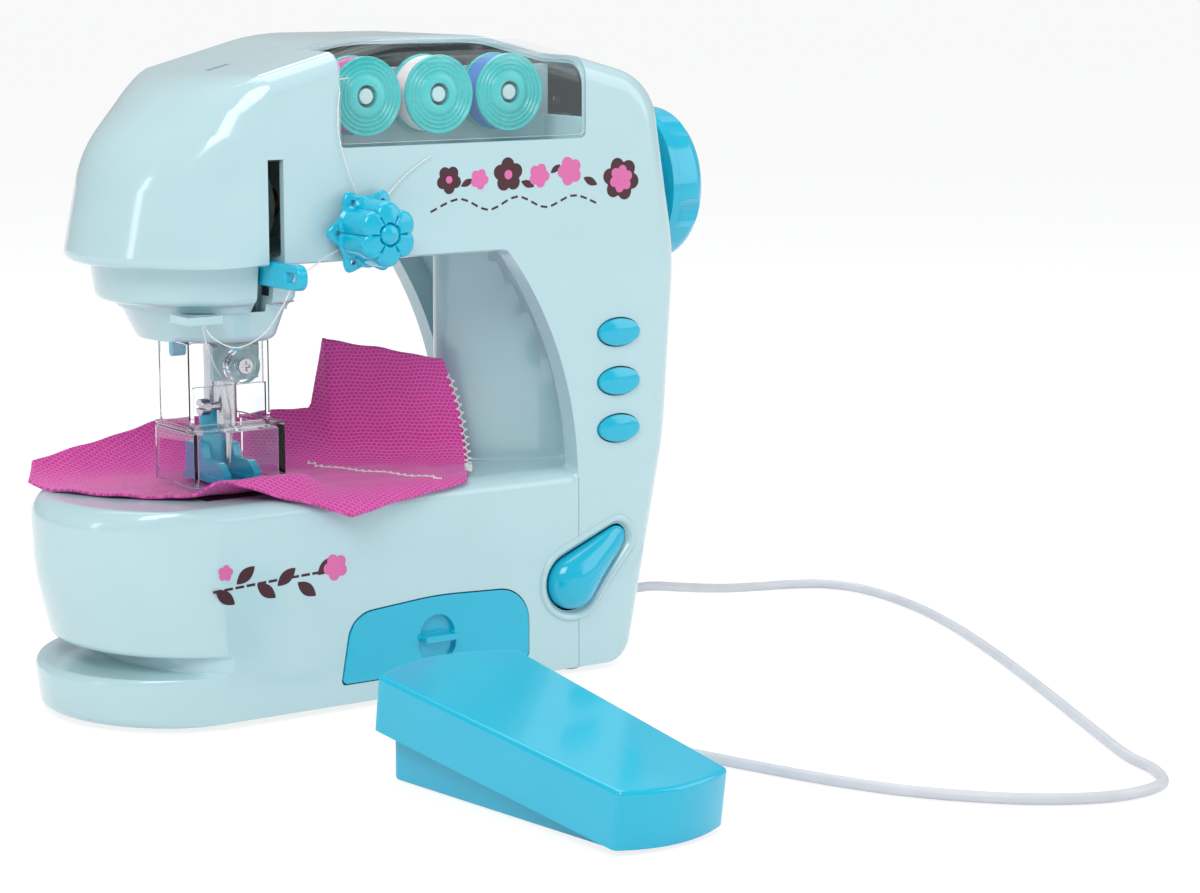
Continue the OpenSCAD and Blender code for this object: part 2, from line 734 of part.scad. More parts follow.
// Clear guard round the needle: two sides, a strap with its screw boss and a deeper box below
guard_z0 = bed_z + 3.4;
guard_step = guard_z0 + 19;
guard_y1 = needle_y + 13;
guard_box = 6.5;
guard_side = 1.8;
guard_h = guard_w / 2;

module needle_guard() color([0.85, 0.93, 0.95, 0.4]) {
    top = cup_z - 0.2;
    wide = guard_h + guard_side;
    box_y0 = strap_y0 - guard_box;
    difference() {
        union() {
            for (s = [-1, 1]) translate([guard_c, 0, 0]) mirror([s < 0 ? 1 : 0, 0, 0]) {
                block(guard_h, guard_h + guard_t, strap_y0, guard_y1, guard_step, top);
                block(wide, wide + guard_t, box_y0, guard_y1, guard_z0, guard_step);
                block(guard_h, wide + guard_t, strap_y0, guard_y1, guard_step - guard_t, guard_step);
            }
            block(guard_c - guard_h - guard_t, guard_c + guard_h + guard_t, strap_y0, strap_y0 + guard_t,
                guard_screw_z - 6.5, top);
            block(guard_c - wide - guard_t, guard_c + wide + guard_t, box_y0, box_y0 + guard_t,
                guard_z0, guard_step);
            block(guard_c - wide - guard_t, guard_c + wide + guard_t, box_y0, strap_y0 + guard_t,
                guard_step - guard_t, guard_step);
            rod_y(strap_y0 - boss_l, strap_y0, needle_x, guard_screw_z, boss_d);
        }
        rod_y(strap_y0 - boss_l - cut, strap_y0 + guard_t + cut, needle_x, guard_screw_z, 3 + 2 * fit);
        rod_y(strap_y0 - boss_l - cut, strap_y0 - boss_l + 1.8, needle_x, guard_screw_z, 5.2);
    }
}

feed_w = 3.5;
feed_x = 5;
feed_y0 = needle_y - 8;
feed_y1 = needle_y + 9;
feed_travel = 1.5;
feed_slot = 0.5;

module needle_plate() color(steel) {
    difference() {
        block(plate_x0 + gap, plate_x1 - gap, plate_y0 + gap, plate_y1 - gap, bed_under, bed_z);
        rod_z(bed_under - cut, bed_z + cut, needle_x, needle_y, 4);
        for (s = [-1, 1]) translate([needle_x + s * feed_x, 0, 0])
            block(-feed_w / 2 - feed_slot, feed_w / 2 + feed_slot, feed_y0 - feed_travel - feed_slot,
                feed_y1 + feed_travel + feed_slot, bed_under - cut, bed_z + cut);
    }
}

module feed_dog() color(steel) {
    for (s = [-1, 1]) difference() {
        block(needle_x + s * feed_x - feed_w / 2, needle_x + s * feed_x + feed_w / 2,
            feed_y0, feed_y1, feed_rod_z + 1, bed_z - 0.3);
        for (i = [1 : 7])
            translate([needle_x + s * feed_x, feed_y0 + i * (feed_y1 - feed_y0) / 8, bed_z - 0.3])
                rotate([45, 0, 0]) cube([feed_w + 2, 0.9, 0.9], center = true);
    }
    block(needle_x - feed_x - feed_w / 2, needle_x + feed_x + feed_w / 2, needle_y + 4, feed_y1,
        feed_rod_z - feed_rod_d / 2, feed_rod_z + 3);
    rod_y(feed_y1, feed_rod_y1, needle_x, feed_rod_z, feed_rod_d);
}

needle_d = 1.6;
needle_tip = needle_bar_z - needle_len;

module needle() color(steel) {
    rod_z(needle_tip + 5, needle_bar_z + 8, needle_x, needle_y, needle_d);
    translate([needle_x, needle_y, needle_tip]) cylinder(h = 5, d1 = 0.3, d2 = needle_d);
}

clamp_z = needle_bar_z + 6;
clamp_d = 2.6;
bar_top = guide_z + guide_t + needle_down + 1;

module needle_bar() color(steel) {
    difference() {
        rod_z(needle_bar_z, bar_top, needle_x, needle_y, needle_bar_d);
        rod_z(needle_bar_z - cut, needle_bar_z + 9, needle_x, needle_y, needle_d + 2 * fit);
        rod_x(needle_x - needle_bar_d, needle_x, needle_y, clamp_z, clamp_d + 2 * fit);
    }
}

module needle_clamp_screw() color(steel) {
    rod_x(needle_x - needle_bar_d / 2 - 4, needle_x - needle_d / 2 - fit, needle_y, clamp_z, clamp_d);
    difference() {
        rod_x(needle_x - needle_bar_d / 2 - 6.5, needle_x - needle_bar_d / 2 - 3.5, needle_y, clamp_z, 5.4);
        block(needle_x - needle_bar_d / 2 - 7, needle_x - needle_bar_d / 2 - 5.4, needle_y - 4, needle_y + 4,
            clamp_z - 0.5, clamp_z + 0.5);
    }
}

crank_x = web_x - 9;
crank_t = 3;
pin_d = 4;
pin_gap = 0.5;
yoke_x = crank_x - 7;
yoke_t = 3.4;

// Slotted yoke on the needle bar that the crank pin works
module needle_yoke() color(white_plastic) {
    z0 = yoke_z - yoke_h / 2;
    difference() {
        union() {
            rod_z(z0, z0 + yoke_h, needle_x, needle_y, needle_bar_d + 6);
            block(needle_x, yoke_x + yoke_t, needle_y - 4, needle_y + 5, z0, z0 + yoke_h);
            block(yoke_x, yoke_x + yoke_t, -crank_r - 5, crank_r + 5, z0, z0 + yoke_h);
        }
        rod_z(z0 - cut, z0 + yoke_h + cut, needle_x, needle_y, needle_bar_d + 2 * fit);
        block(yoke_x + 1.4, yoke_x + yoke_t + cut, -crank_r - 2.4, crank_r + 2.4,
            yoke_z - pin_d / 2 - pin_gap, yoke_z + pin_d / 2 + pin_gap);
    }
}

foot_z0 = bed_z + sole_gap;
foot_w = 15;
foot_slot_w = 4.6;
foot_y0 = needle_y - 10.5;

// Presser foot: wide sole, two upright toes either side of the needle and a shank round its bar
module presser_foot() color(blue) {
    difference() {
        union() {
            block(needle_x - foot_w / 2, needle_x + foot_w / 2, foot_y0, presser_y + 4, foot_z0, foot_z0 + 2);
            for (s = [-1, 1])
                translate([needle_x + s * (needle_bar_d / 2 + 2.2), 0, 0]) rotate([90, 0, 90])
                    linear_extrude(2.6, center = true)
                        polygon(rounded([[foot_y0 + 1, foot_z0 + 1, 0.3, 1],
                            [presser_y + 3.4, foot_z0 + 1, 0.3, 1], [presser_y + 3.4, foot_z0 + 12, 1, 2],
                            [needle_y + 5.4, foot_z0 + 11, 1, 3],
                            [needle_y + 3.8, foot_z0 + 6.8, 1, 3], [foot_y0 + 5, foot_z0 + 6.8, 3, 3],
                            [foot_y0 + 1, foot_z0 + 3.6, 1, 2]]));
            rod_z(foot_z0 + 1, foot_z0 + 24, needle_x, presser_y, presser_d + 3.4);
        }
        block(needle_x - foot_slot_w / 2, needle_x + foot_slot_w / 2, foot_y0 - cut, needle_y + 4.4,
            foot_z0 - cut, foot_z0 + 20);
        rod_z(foot_z0 + 8, foot_z0 + 30, needle_x, presser_y, presser_d + 2 * fit);
    }
}

presser_top = guide_z + guide_t + 3;
collar_z = lifter_z + 12;

module presser_bar() color(steel) {
    rod_z(foot_z0 + 8, presser_top, needle_x, presser_y, presser_d);
    rod_z(collar_z, collar_z + 3, needle_x, presser_y, presser_d + 3.6);
}

// Cam lever behind the presser bar: hub on its pin with a handle that hangs behind the head
module presser_lifter() color(blue) {
    translate([needle_x, lifter_y, lifter_z]) difference() {
        union() {
            rod_x(-lifter_t / 2, lifter_t / 2, 0, 0, 6);
            block(-lifter_t / 2, lifter_t / 2, -1.6, 1.6, -17, 0);
            rod_x(-lifter_t / 2, lifter_t / 2, 0, -17, 3.2);
        }
        rod_x(-lifter_t, lifter_t, 0, 0, lifter_pin_d + 2 * fit);
    }
}

lever_h = 8;
eye_l = 6;
eye_h = 3;

// Take-up lever: flat bar on its pin with a long eye near the rounded end
module take_up_lever() color(blue) {
    tip = lever_y - lever_len;
    difference() {
        translate([slot_x - lever_t / 2, 0, 0]) rotate([90, 0, 90]) linear_extrude(lever_t)
            polygon(rounded([for (c = [[tip, -1], [lever_y + 4, -1], [lever_y + 4, 1], [tip, 1]])
                [c[0], lever_z + c[1] * lever_h / 2, 3.6, 5]]));
        block(slot_x - lever_t, slot_x + lever_t, tip + 2.4, tip + 2.4 + eye_l,
            lever_z - eye_h / 2, lever_z + eye_h / 2);
        rod_x(slot_x - lever_t, slot_x + lever_t, lever_y, lever_z, lever_pin_d + 2 * fit);
    }
}

pedal_at = [-23.9, -220];
pedal_turn = 5.3;
near_bow = 6;
far_bow = 8;
treadle_z = 1.7;
hinge_v = 8;
hinge_z = 7.6;
pedal_pin_d = 3;
base_v0 = 2;
base_v1 = 100;

module on_pedal() {
    translate([pedal_at[0], pedal_at[1], 0]) rotate(pedal_turn) children();
}

module hinge_pins() color(steel) {
    lever_reach = lever_t / 2 + ear_gap + ear_t;
    rod_x(slot_x - lever_reach, slot_x + lever_reach, lever_y, lever_z, lever_pin_d);
    lifter_reach = lifter_t / 2 + ear_gap + ear_t;
    rod_x(needle_x - lifter_reach, needle_x + lifter_reach, lifter_y, lifter_z, lifter_pin_d);
    on_pedal() rod_x(-pedal_near_w / 2, pedal_near_w / 2, hinge_v, hinge_z, pedal_pin_d);
}

// Coil of n turns, 6 sides and 8 rings a turn, standing between z0 and z1
module coil(x, y, z0, z1, r, wire, n) {
    rings = 8 * n;
    points = [for (i = [0 : rings])
        [x + r * cos(45 * i), y + r * sin(45 * i), z0 + wire / 2 + (z1 - z0 - wire) * i / rings]];
    tube_along(points, wire / 2, 6);
}

spring_wire = 0.8;
treadle_v = 72;
function treadle_under(v) = treadle_z + v * tan(pedal_slope) + (pedal_h - pedal_t) / cos(pedal_slope);

module presser_spring() color(steel)
    coil(needle_x, presser_y, collar_z + 3.1, guide_z - 0.1,
        (presser_d + spring_wire) / 2 + 0.6, spring_wire, 9);

module pedal_spring() color(steel)
    on_pedal() coil(0, treadle_v, pedal_t + 0.1, treadle_under(treadle_v) - 0.9, 4.5, spring_wire, 7);

// Tension knob

module tension_stud() color(steel) {
    rod_y(front_y - knob_l - 2, front_y + 6, knob_x, knob_z, stud_d);
    rod_y(front_y + wall + 0.1, front_y + wall + 2.5, knob_x, knob_z, stud_d + 4);
}

flange_t = 2.5;
flange_gap = 1.8;
petals = 6;

// Petalled grip in front of a wavy flange with a hole in each lobe
module tension_knob() color(blue) {
    flange_y = front_y - flange_gap;
    lobe = knob_flange_d * 0.14;
    difference() {
        union() {
            along_y(flange_y - flange_t, flange_y) translate([knob_x, knob_z]) {
                circle(d = knob_flange_d - 2.2 * lobe);
                for (i = [0 : petals - 1])
                    rotate(60 * i) translate([knob_flange_d / 2 - lobe, 0]) circle(lobe);
            }
            along_y(flange_y - flange_t - knob_l, flange_y - flange_t) translate([knob_x, knob_z]) {
                circle(d = knob_d * 0.66);
                for (i = [0 : petals - 1])
                    rotate(60 * i + 30) translate([knob_d * 0.31, 0]) circle(knob_d * 0.19);
            }
            rod_y(flange_y - flange_t - knob_l - 1.2, flange_y - flange_t - knob_l, knob_x, knob_z, 6.5);
        }
        for (i = [0 : petals - 1])
            translate([knob_x, 0, knob_z]) rotate([0, 60 * i, 0])
                rod_y(flange_y - flange_t - cut, flange_y + cut, knob_flange_d / 2 - lobe, 0, 2);
        rod_y(front_y - knob_l - 2.2, front_y, knob_x, knob_z, stud_d + 2 * fit);
    }
}

// Spools behind the clear lid

spool_z = 195;
spool_x = 21.2;
spool_y0 = front_y + 13.5;
peg_collar = 1.6;
tray_y = spool_y0 + spool_l + peg_collar + 0.1;
tray_t = 2;
tray_z = window_z - 2.4;
tray_x0 = window_x0 - 0.6;
tray_x1 = window_x1 + 0.6;

// Tray behind the window: floor, back with three pegs and two side walls
module spool_tray() color("#8fc9cd") {
    side_y0 = front_y + wall + 0.2;
    side_z1 = lid_hinge_z + 4;
    difference() {
        union() {
            block(tray_x0 - tray_t, tray_x1 + tray_t, side_y0, tray_y + tray_t, tray_z - tray_t, tray_z);
            block(tray_x0 - tray_t, tray_x1 + tray_t, tray_y, tray_y + tray_t, tray_z - tray_t, crest_z - 10);
            for (x = [tray_x0 - tray_t, tray_x1])
                block(x, x + tray_t, side_y0, tray_y + tray_t, tray_z - tray_t, side_z1);
            for (i = [-1 : 1]) {
                rod_y(spool_y0 + 0.5, tray_y + cut, spool_x + i * spool_pitch, spool_z, peg_d);
                rod_y(tray_y - peg_collar, tray_y + cut, spool_x + i * spool_pitch, spool_z, peg_d + 3);
            }
        }
        block(spool_x - 7, spool_x + 7, tray_y - cut, tray_y + tray_t + cut, crest_z - 14, crest_z);
    }
}

flange_w = 1.6;
hub_d = 9;

module spool(i) color(turquoise) {
    x = spool_x + i * spool_pitch;
    difference() {
        union() {
            rod_y(spool_y0, spool_y0 + flange_w, x, spool_z, spool_d);
            rod_y(spool_y0 + flange_w, spool_y0 + spool_l - flange_w, x, spool_z, hub_d);
            rod_y(spool_y0 + spool_l - flange_w, spool_y0 + spool_l, x, spool_z, spool_d);
        }
        rod_y(spool_y0 - cut, spool_y0 + spool_l + cut, x, spool_z, peg_d + 4 * fit);
        for (d = [spool_d - 4, spool_d - 9]) difference() {
            rod_y(spool_y0 - cut, spool_y0 + 0.4, x, spool_z, d);
            rod_y(spool_y0 - 2 * cut, spool_y0 + cut, x, spool_z, d - 2);
        }
    }
}

module wound_thread(i, colour) color(colour) {
    x = spool_x + i * spool_pitch;
    difference() {
        rod_y(spool_y0 + flange_w, spool_y0 + spool_l - flange_w, x, spool_z, thread_d);
        rod_y(spool_y0, spool_y0 + spool_l, x, spool_z, hub_d);
    }
}

module spool_left() spool(-1);
module spool_middle() spool(0);
module spool_right() spool(1);
module thread_left() wound_thread(-1, "#e05aa8");
module thread_middle() wound_thread(0, "#f4f4f2");
module thread_right() wound_thread(1, "#2f86d8");

// Clear lid that follows the casing's front and top, hinged on two stub pins at its lower corners
module spool_lid() color([0.85, 0.95, 0.97, 0.4]) {
    intersection() {
        half_shell(lid_t);
        along_y(front_y - cut, window_y - gap) window_shape(gap);
        block(window_x0, window_x1, front_y - cut, 0, lid_hinge_z - 1.6, crest_z + cut);
    }
    rod_x(window_x0 - 2, window_x0 + gap + 3, lid_hinge_y, lid_hinge_z, lid_pin_d);
    rod_x(window_x1 - gap - 3, window_x1 + 2, lid_hinge_y, lid_hinge_z, lid_pin_d);
}

// Drive

belt_x0 = 93;
belt_w = 3.6;
belt_t = 1.2;
belt_gap = 0.35;
rim = 1.6;
gear_x = frame_x + frame_t + 1.2;
gear_w = 4.5;
wheel_x = right_x + bulge + 1.2;
shaft_x1 = wheel_x + 10;

// Gear outline with straight-flanked teeth, the first tooth or gap at the given angle
function tooth_profile(n, m, start) =
    let(r = n * m / 2, root = r - 1.2 * m, tip = r + 0.7 * m, step = 360 / n)
    [for (i = [0 : n - 1])
        for (c = [[root, -0.32], [tip, -0.1], [tip, 0.1], [root, 0.32]])
        let(a = start + (i + c[1]) * step)
        c[0] * [cos(a), sin(a)]];

// Plan in the plane of a shaft carried along X, with the first outline axis along +Y
module along_x(x0, x1, z) {
    translate([x0, 0, z]) rotate([90, 0, 90]) linear_extrude(x1 - x0) children();
}

module pulley(x0, z) {
    rod_x(x0 - rim, x0 - belt_gap, 0, z, 2 * (pulley_r + belt_t + belt_gap + 0.8));
    rod_x(x0 - rim, x0 + belt_w + rim, 0, z, 2 * pulley_r);
    rod_x(x0 + belt_w + belt_gap, x0 + belt_w + rim, 0, z, 2 * (pulley_r + belt_t + belt_gap + 0.8));
}

module main_shaft() color(steel) rod_x(crank_x + crank_t, shaft_x1, 0, shaft_z, shaft_d);

module drive_gear() color(white_plastic) difference() {
    union() {
        along_x(gear_x, gear_x + gear_w, shaft_z) polygon(tooth_profile(gear_teeth, gear_m, -90));
        rod_x(gear_x, belt_x0, 0, shaft_z, 12);
        pulley(belt_x0, shaft_z);
    }
    rod_x(gear_x - cut, belt_x0 + 10, 0, shaft_z, shaft_d + 2 * fit);
}

crank_turn = asin(min(1, (yoke_z - shaft_z) / crank_r));

module crank_disc() color(white_plastic) {
    difference() {
        union() {
            rod_x(crank_x, crank_x + crank_t, 0, shaft_z, 2 * (crank_r + 4));
            rod_x(crank_x + crank_t, crank_x + crank_t + 3, 0, shaft_z, shaft_d + 5);
        }
        rod_x(crank_x + crank_t, crank_x + crank_t + 4, 0, shaft_z, shaft_d + 2 * fit);
    }
    rod_x(yoke_x + yoke_t + pin_gap, crank_x,
        crank_r * cos(crank_turn), shaft_z + crank_r * sin(crank_turn), pin_d);
}

module handwheel() color(blue) {
    scallops = 5;
    difference() {
        translate([wheel_x, 0, shaft_z]) rotate([0, 90, 0]) rotate_extrude($fn = 72) {
            r = wheel_r;
            w = wheel_w;
            polygon(concat([[0, 0], [r, 0], [r, 2.6], [r - 1.2, 3.4]],
                [for (i = [0 : 10]) let(a = 9 * i) [r - 8 + 6.8 * cos(a), w * 0.55 + w * 0.33 * sin(a)]],
                [[0, w]]));
        }
        for (i = [0 : scallops - 1])
            translate([wheel_x, 0, shaft_z]) rotate([72 * i + 20, 0, 0])
                rod_x(4.4, wheel_w + cut, -wheel_r - 5, 0, 17);
        rod_x(wheel_x - cut, shaft_x1 + 0.2, 0, shaft_z, shaft_d + 2 * fit);
    }
}

module motor() color(steel) difference() {
    union() {
        rod_x(frame_x - motor_l, frame_x, 0, motor_z, motor_d);
        rod_x(frame_x, frame_x + 2, 0, motor_z, motor_boss_d);
        rod_x(frame_x - motor_l - 2, frame_x - motor_l, 0, motor_z, 9);
    }
    rod_x(frame_x - motor_l - 3, frame_x + 3, 0, motor_z, 2 + 2 * fit);
}

// Pinion on the rotor's own shaft, with a gap of its teeth under the gear's lowest tooth
module motor_pinion() color("#c9a45c") {
    along_x(gear_x - 0.5, gear_x + gear_w + 0.5, motor_z)
        polygon(tooth_profile(pinion_teeth, gear_m, 90 + 180 / pinion_teeth));
    rod_x(frame_x - motor_l - 3, gear_x + gear_w + 1, 0, motor_z, 2);
}

lower_x0 = needle_x + 3;

module lower_shaft() color(steel) rod_x(lower_x0, belt_x0 + belt_w + rim, 0, lower_z, shaft_d);

module lower_pulley() color(white_plastic) difference() {
    union() {
        pulley(belt_x0, lower_z);
        rod_x(belt_x0 - 5, belt_x0, 0, lower_z, shaft_d + 5);
    }
    rod_x(belt_x0 - 6, belt_x0 + belt_w + 3, 0, lower_z, shaft_d + 2 * fit);
}

looper_r = 7;

// Looper: hub with one curved hook under the needle plate
module looper() color(steel) difference() {
    union() {
        rod_x(lower_x0, lower_x0 + 5, 0, lower_z, shaft_d + 5);
        along_x(lower_x0, lower_x0 + 2, lower_z)
            polygon(concat([for (i = [0 : 12]) let(a = 150 - 10 * i) looper_r * [cos(a), sin(a)]],
                [for (i = [0 : 12])
                    let(a = 30 + 10 * i) (looper_r - 2 - 2.5 * (12 - i) / 12) * [cos(a), sin(a)]]));
        along_x(lower_x0, lower_x0 + 2, lower_z)
            polygon([[-1, 2], [4.5, 2], [looper_r * cos(30) - 0.4, looper_r * sin(30)], [2.5, 5.5]]);
    }
    rod_x(lower_x0 - cut, lower_x0 + 6, 0, lower_z, shaft_d + 2 * fit);
}

// Belt round both pulleys: two half rings and two straight runs
module timing_belt() color("#30343a") {
    r0 = pulley_r + belt_gap;
    r1 = r0 + belt_t;
    x1 = belt_x0 + belt_w;
    for (s = [0, 1]) {
        z = s == 0 ? lower_z : shaft_z;
        difference() {
            rod_x(belt_x0, x1, 0, z, 2 * r1);
            rod_x(belt_x0 - cut, x1 + cut, 0, z, 2 * r0);
            translate([belt_x0 - cut, -2 * r1, s == 0 ? z : z - 2 * r1])
                cube([belt_w + 2 * cut, 4 * r1, 2 * r1]);
        }
    }
    for (y = [-r1, r0]) block(belt_x0, x1, y, y + belt_t, lower_z, shaft_z);
}

// Controls

board_t = 1.6;
key_gap = 0.3;
button_proud = 1.3;
button_back = board_y - 4.6;

module button(z) color(blue) {
    along_y(front_y - button_proud, -inner_face + 0.3)
        translate([button_x, z]) oval(button_w - 2 * gap, button_h - 2 * gap);
    along_y(-inner_face + 0.1, -inner_face + 1.3) translate([button_x, z]) oval(button_w + 2, button_h + 2);
    rod_y(-inner_face + 1, button_back, button_x, z, 4);
}

module button_top() button(button_zs[0]);
module button_middle() button(button_zs[1]);
module button_bottom() button(button_zs[2]);

// Board behind the buttons with one key under each
module control_board() color("#3f8f5c") {
    block(button_x - 3.6, button_x + 15, board_y, board_y + board_t, button_zs[2] - 9, button_zs[0] + 9);
    for (z = button_zs) {
        block(button_x - 3, button_x + 3, board_y - 2, board_y, z - 3, z + 3);
        rod_y(board_y - 4.6 + button_travel + key_gap, board_y - 2, button_x, z, 3.5);
    }
}

rock_y = front_y + 4;
rock_pin_d = 3;
rock_ear = 10.5;

// Places a piece in the switch's own axes: X along the teardrop, Y up its side, Z out of the panel
module on_switch() {
    translate([switch_c[0], rock_y, switch_c[1]]) rotate([90, 0, 0]) rotate(switch_tilt)
        translate([switch_mid, 0, 0]) children();
}

// Stepped rocker with stub axles
module power_switch() color(blue) {
    along_y(front_y - 1.6, front_y + 6) switch_shape(0);
    along_y(front_y - 2.8, front_y) switch_shape(1);
    along_y(front_y - 3.6, front_y) switch_shape(2.2);
    on_switch() rotate([90, 0, 0]) cylinder(h = 2 * rock_ear + 4, d = rock_pin_d, center = true);
}

// Fixed block behind the rocker: a plate on two ears that hold the axle
module switch_block() color("#39424a") {
    on_switch() difference() {
        union() {
            translate([-7, -rock_ear - 2, -12]) cube([14, 2 * rock_ear + 4, 3]);
            for (s = [-1, 1]) translate([-4, s * rock_ear + (s < 0 ? -2 : -0.4), -10]) cube([8, 2.4, 11.4]);
        }
        rotate([90, 0, 0]) cylinder(h = 4 * rock_ear, d = rock_pin_d + 2 * fit, center = true);
    }
}

// Drawer: front with a finger pull and an open box behind it

pull_x = 10;
pull_z = 18;
pull_r = 7;

module drawer() color(blue) {
    box_y0 = front_y + wall;
    box_y1 = box_y0 + drawer_l;
    x0 = drawer_x0 + 6;
    x1 = drawer_x1 - 6;
    z1 = drawer_z1 - 9;
    difference() {
        along_y(front_y - 0.4, front_y + wall) drawer_shape(gap);
        along_y(front_y - cut, front_y + 1.2) difference() {
            translate([pull_x, pull_z]) circle(pull_r);
            translate([pull_x - 10, pull_z + 2]) square([20, 10]);
        }
    }
    block(pull_x - 6, pull_x + 6, front_y - 3.4, front_y + 0.5, pull_z + 1, pull_z + 3);
    difference() {
        block(x0, x1, box_y0, box_y1, box_z0, z1);
        block(x0 + drawer_t, x1 - drawer_t, box_y0 - cut, box_y1 - drawer_t, box_z0 + drawer_t, z1 + cut);
    }
}

// Battery bay

module battery_box() color(white_plastic) difference() {
    block(bay_x0, bay_x1, bay_y0, bay_y1, inner_floor + 0.3, bay_z1);
    block(bay_x0 + bay_wall, bay_x1 - bay_wall, bay_y0 + bay_wall, bay_y1 - bay_wall,
        inner_floor - cut, bay_z1 - bay_wall);
}

// Four cells lying along X, with their contact plates
module battery_cells() color("#6d7277") {
    x0 = bay_x0 + bay_wall + contact_t + cell_gap;
    for (y = cell_ys, z = cell_zs) {
        rod_x(x0, x0 + cell_l - 1.5, y, z, cell_d);
        rod_x(x0 + cell_l - 1.5, x0 + cell_l, y, z, 5.5);
    }
    for (x = [bay_x0 + bay_wall, bay_x1 - bay_wall - contact_t])
        for (y = cell_ys)
            block(x, x + contact_t, y - 5, y + 5, cell_zs[0] - 5, cell_zs[1] + 5);
}

module battery_door() color(shell_colour) {
    block(bay_x0 + bay_wall + gap, bay_x1 - bay_wall - gap, bay_y0 + bay_wall + gap, bay_y1 - bay_wall - gap,
        rim_z, inner_floor);
}

// Jack, plug and lead

module power_jack() color("#2f343a") difference() {
    union() {
        rod_x(jack_x - 11, jack_x - 1, jack_y, jack_z, jack_d - 2 * gap);
        rod_x(jack_x - 11, jack_x - 9, jack_y, jack_z, jack_d + 3);
    }
    rod_x(jack_x - 9, jack_x, jack_y, jack_z, 5);
}

plug_x0 = jack_x + 0.4;
plug_x1 = plug_x0 + 15;

// Barrel plug with a grip and a tapered strain relief
module cord_plug() color(white_plastic) difference() {
    translate([jack_x - 8, jack_y, jack_z]) rotate([0, 90, 0]) rotate_extrude()
        polygon([[0, 0], [2.4, 0], [2.4, plug_x0 - jack_x + 8],
            [4, plug_x0 - jack_x + 8], [4, plug_x0 - jack_x + 15],
            [cord_d / 2 + 0.7, plug_x1 - jack_x + 8], [0, plug_x1 - jack_x + 8]]);
    rod_x(plug_x1 - 3, plug_x1 + cut, jack_y, jack_z, cord_d + 2 * fit);
}

// Route of the lead: out of the plug, down to the table, round and back to the pedal
gland_v = base_v1 + 6.5;
gland_at = [pedal_at[0] - gland_v * sin(pedal_turn), pedal_at[1] + gland_v * cos(pedal_turn), 6.6];
lie = cord_d / 2 + 0.1;
cord_route = [
    [plug_x1 - 3, jack_y, jack_z], [plug_x1 + 2, jack_y, jack_z], [124, -7, 16.4], [140, -1, 13],
    [157, 8, 9], [177, 17, 5], [195, 22, 2.6], [210, 21, lie], [221, 13, lie], [226, -3, lie],
    [223, -32, lie], [213, -66, lie], [196, -108, lie], [175, -154, lie], [153, -200, lie], [139, -230, lie],
    [134, -247, lie], [124, -259, lie], [104, -260, lie], [82, -248, lie], [62, -226, lie], [49, -202, lie],
    [38, -172, lie], [28, -142, lie], [15, -114, lie], [-2, -93, lie], [-19, -84, lie],
    [-31, -90, 3], gland_at + [-9 * sin(pedal_turn), 9 * cos(pedal_turn), -0.1],
    gland_at + [-4.5 * sin(pedal_turn), 4.5 * cos(pedal_turn), 0], gland_at];

// Point at share t of the stretch from b to c on a smooth curve through a, b, c and d
function on_curve(a, b, c, d, t) =
    b + (c - a) / 2 * t + (2 * a - 5 * b + 4 * c - d) / 2 * t * t + (3 * b - a - 3 * c + d) / 2 * t * t * t;

cord_steps = 2.6;

module cord() color("#f0f1ef") {
    n = len(cord_route);
    points = [for (i = [0 : n - 2])
        let(a = cord_route[max(0, i - 1)], b = cord_route[i], c = cord_route[i + 1],
            d = cord_route[min(n - 1, i + 2)],
            k = max(1, round(norm(c - b) / (cord_steps * cord_d))))
        each [for (j = [0 : k - 1]) on_curve(a, b, c, d, j / k)]];
    tube_along(concat(points, [cord_route[n - 1]]), cord_d / 2, 8);
}

// Pedal

base_h = 12;
boss_w = 3;
gland_d = 6.6;
tray_spread = 4;

// Plan of the tray drawn in by g
module tray_plan(g) {
    a = base_w / 2 - g;
    b = a + tray_spread;
    polygon([[-a, base_v0 + g], [a, base_v0 + g], [b, base_v1 - g], [-b, base_v1 - g]]);
}

// Tray under the treadle, with the lugs of the hinge inside it
module pedal_base() color(blue) on_pedal() difference() {
    union() {
        difference() {
            linear_extrude(base_h) tray_plan(0);
            translate([0, 0, pedal_t]) linear_extrude(base_h) tray_plan(pedal_t);
        }
        for (s = [-1, 1])
            translate([s * (base_w / 2 - pedal_t - boss_w / 2 + 0.5), 0, 0])
                block(-boss_w / 2, boss_w / 2, hinge_v - 3, hinge_v + 3, pedal_t - 0.5, hinge_z + 3.2);
    }
    rod_x(-pedal_far_w, pedal_far_w, hinge_v, hinge_z, pedal_pin_d + 2 * fit);
    rod_y(base_v1 - 6, base_v1 + 10, 0, gland_at[2], gland_d + 2 * fit);
}

// Plan of the treadle drawn in by g: straight sides that spread, bowed ends
module treadle_plan(g) {
    n = 14;
    a = pedal_near_w / 2 - g;
    b = pedal_far_w / 2 - g;
    near = [for (i = [0 : n]) let(k = 2 * i / n - 1) [a * k, g - near_bow * (1 - k * k)]];
    far = [for (i = [0 : n]) let(k = 1 - 2 * i / n) [b * k, pedal_l - g + far_bow * (1 - k * k)]];
    polygon(concat(near, far));
}

// Treadle: sloping cover with four walls over the tray
module pedal_top() color(blue) on_pedal() difference() {
    translate([0, 0, treadle_z]) rotate([pedal_slope, 0, 0]) difference() {
        linear_extrude(pedal_h) treadle_plan(0);
        translate([0, 0, -cut]) linear_extrude(pedal_h - pedal_t + cut) treadle_plan(pedal_t);
        block(-7, 7, pedal_l - 10, pedal_l + 20, -cut, 9);
    }
    rod_x(-pedal_far_w, pedal_far_w, hinge_v, hinge_z, pedal_pin_d + 2 * fit);
}

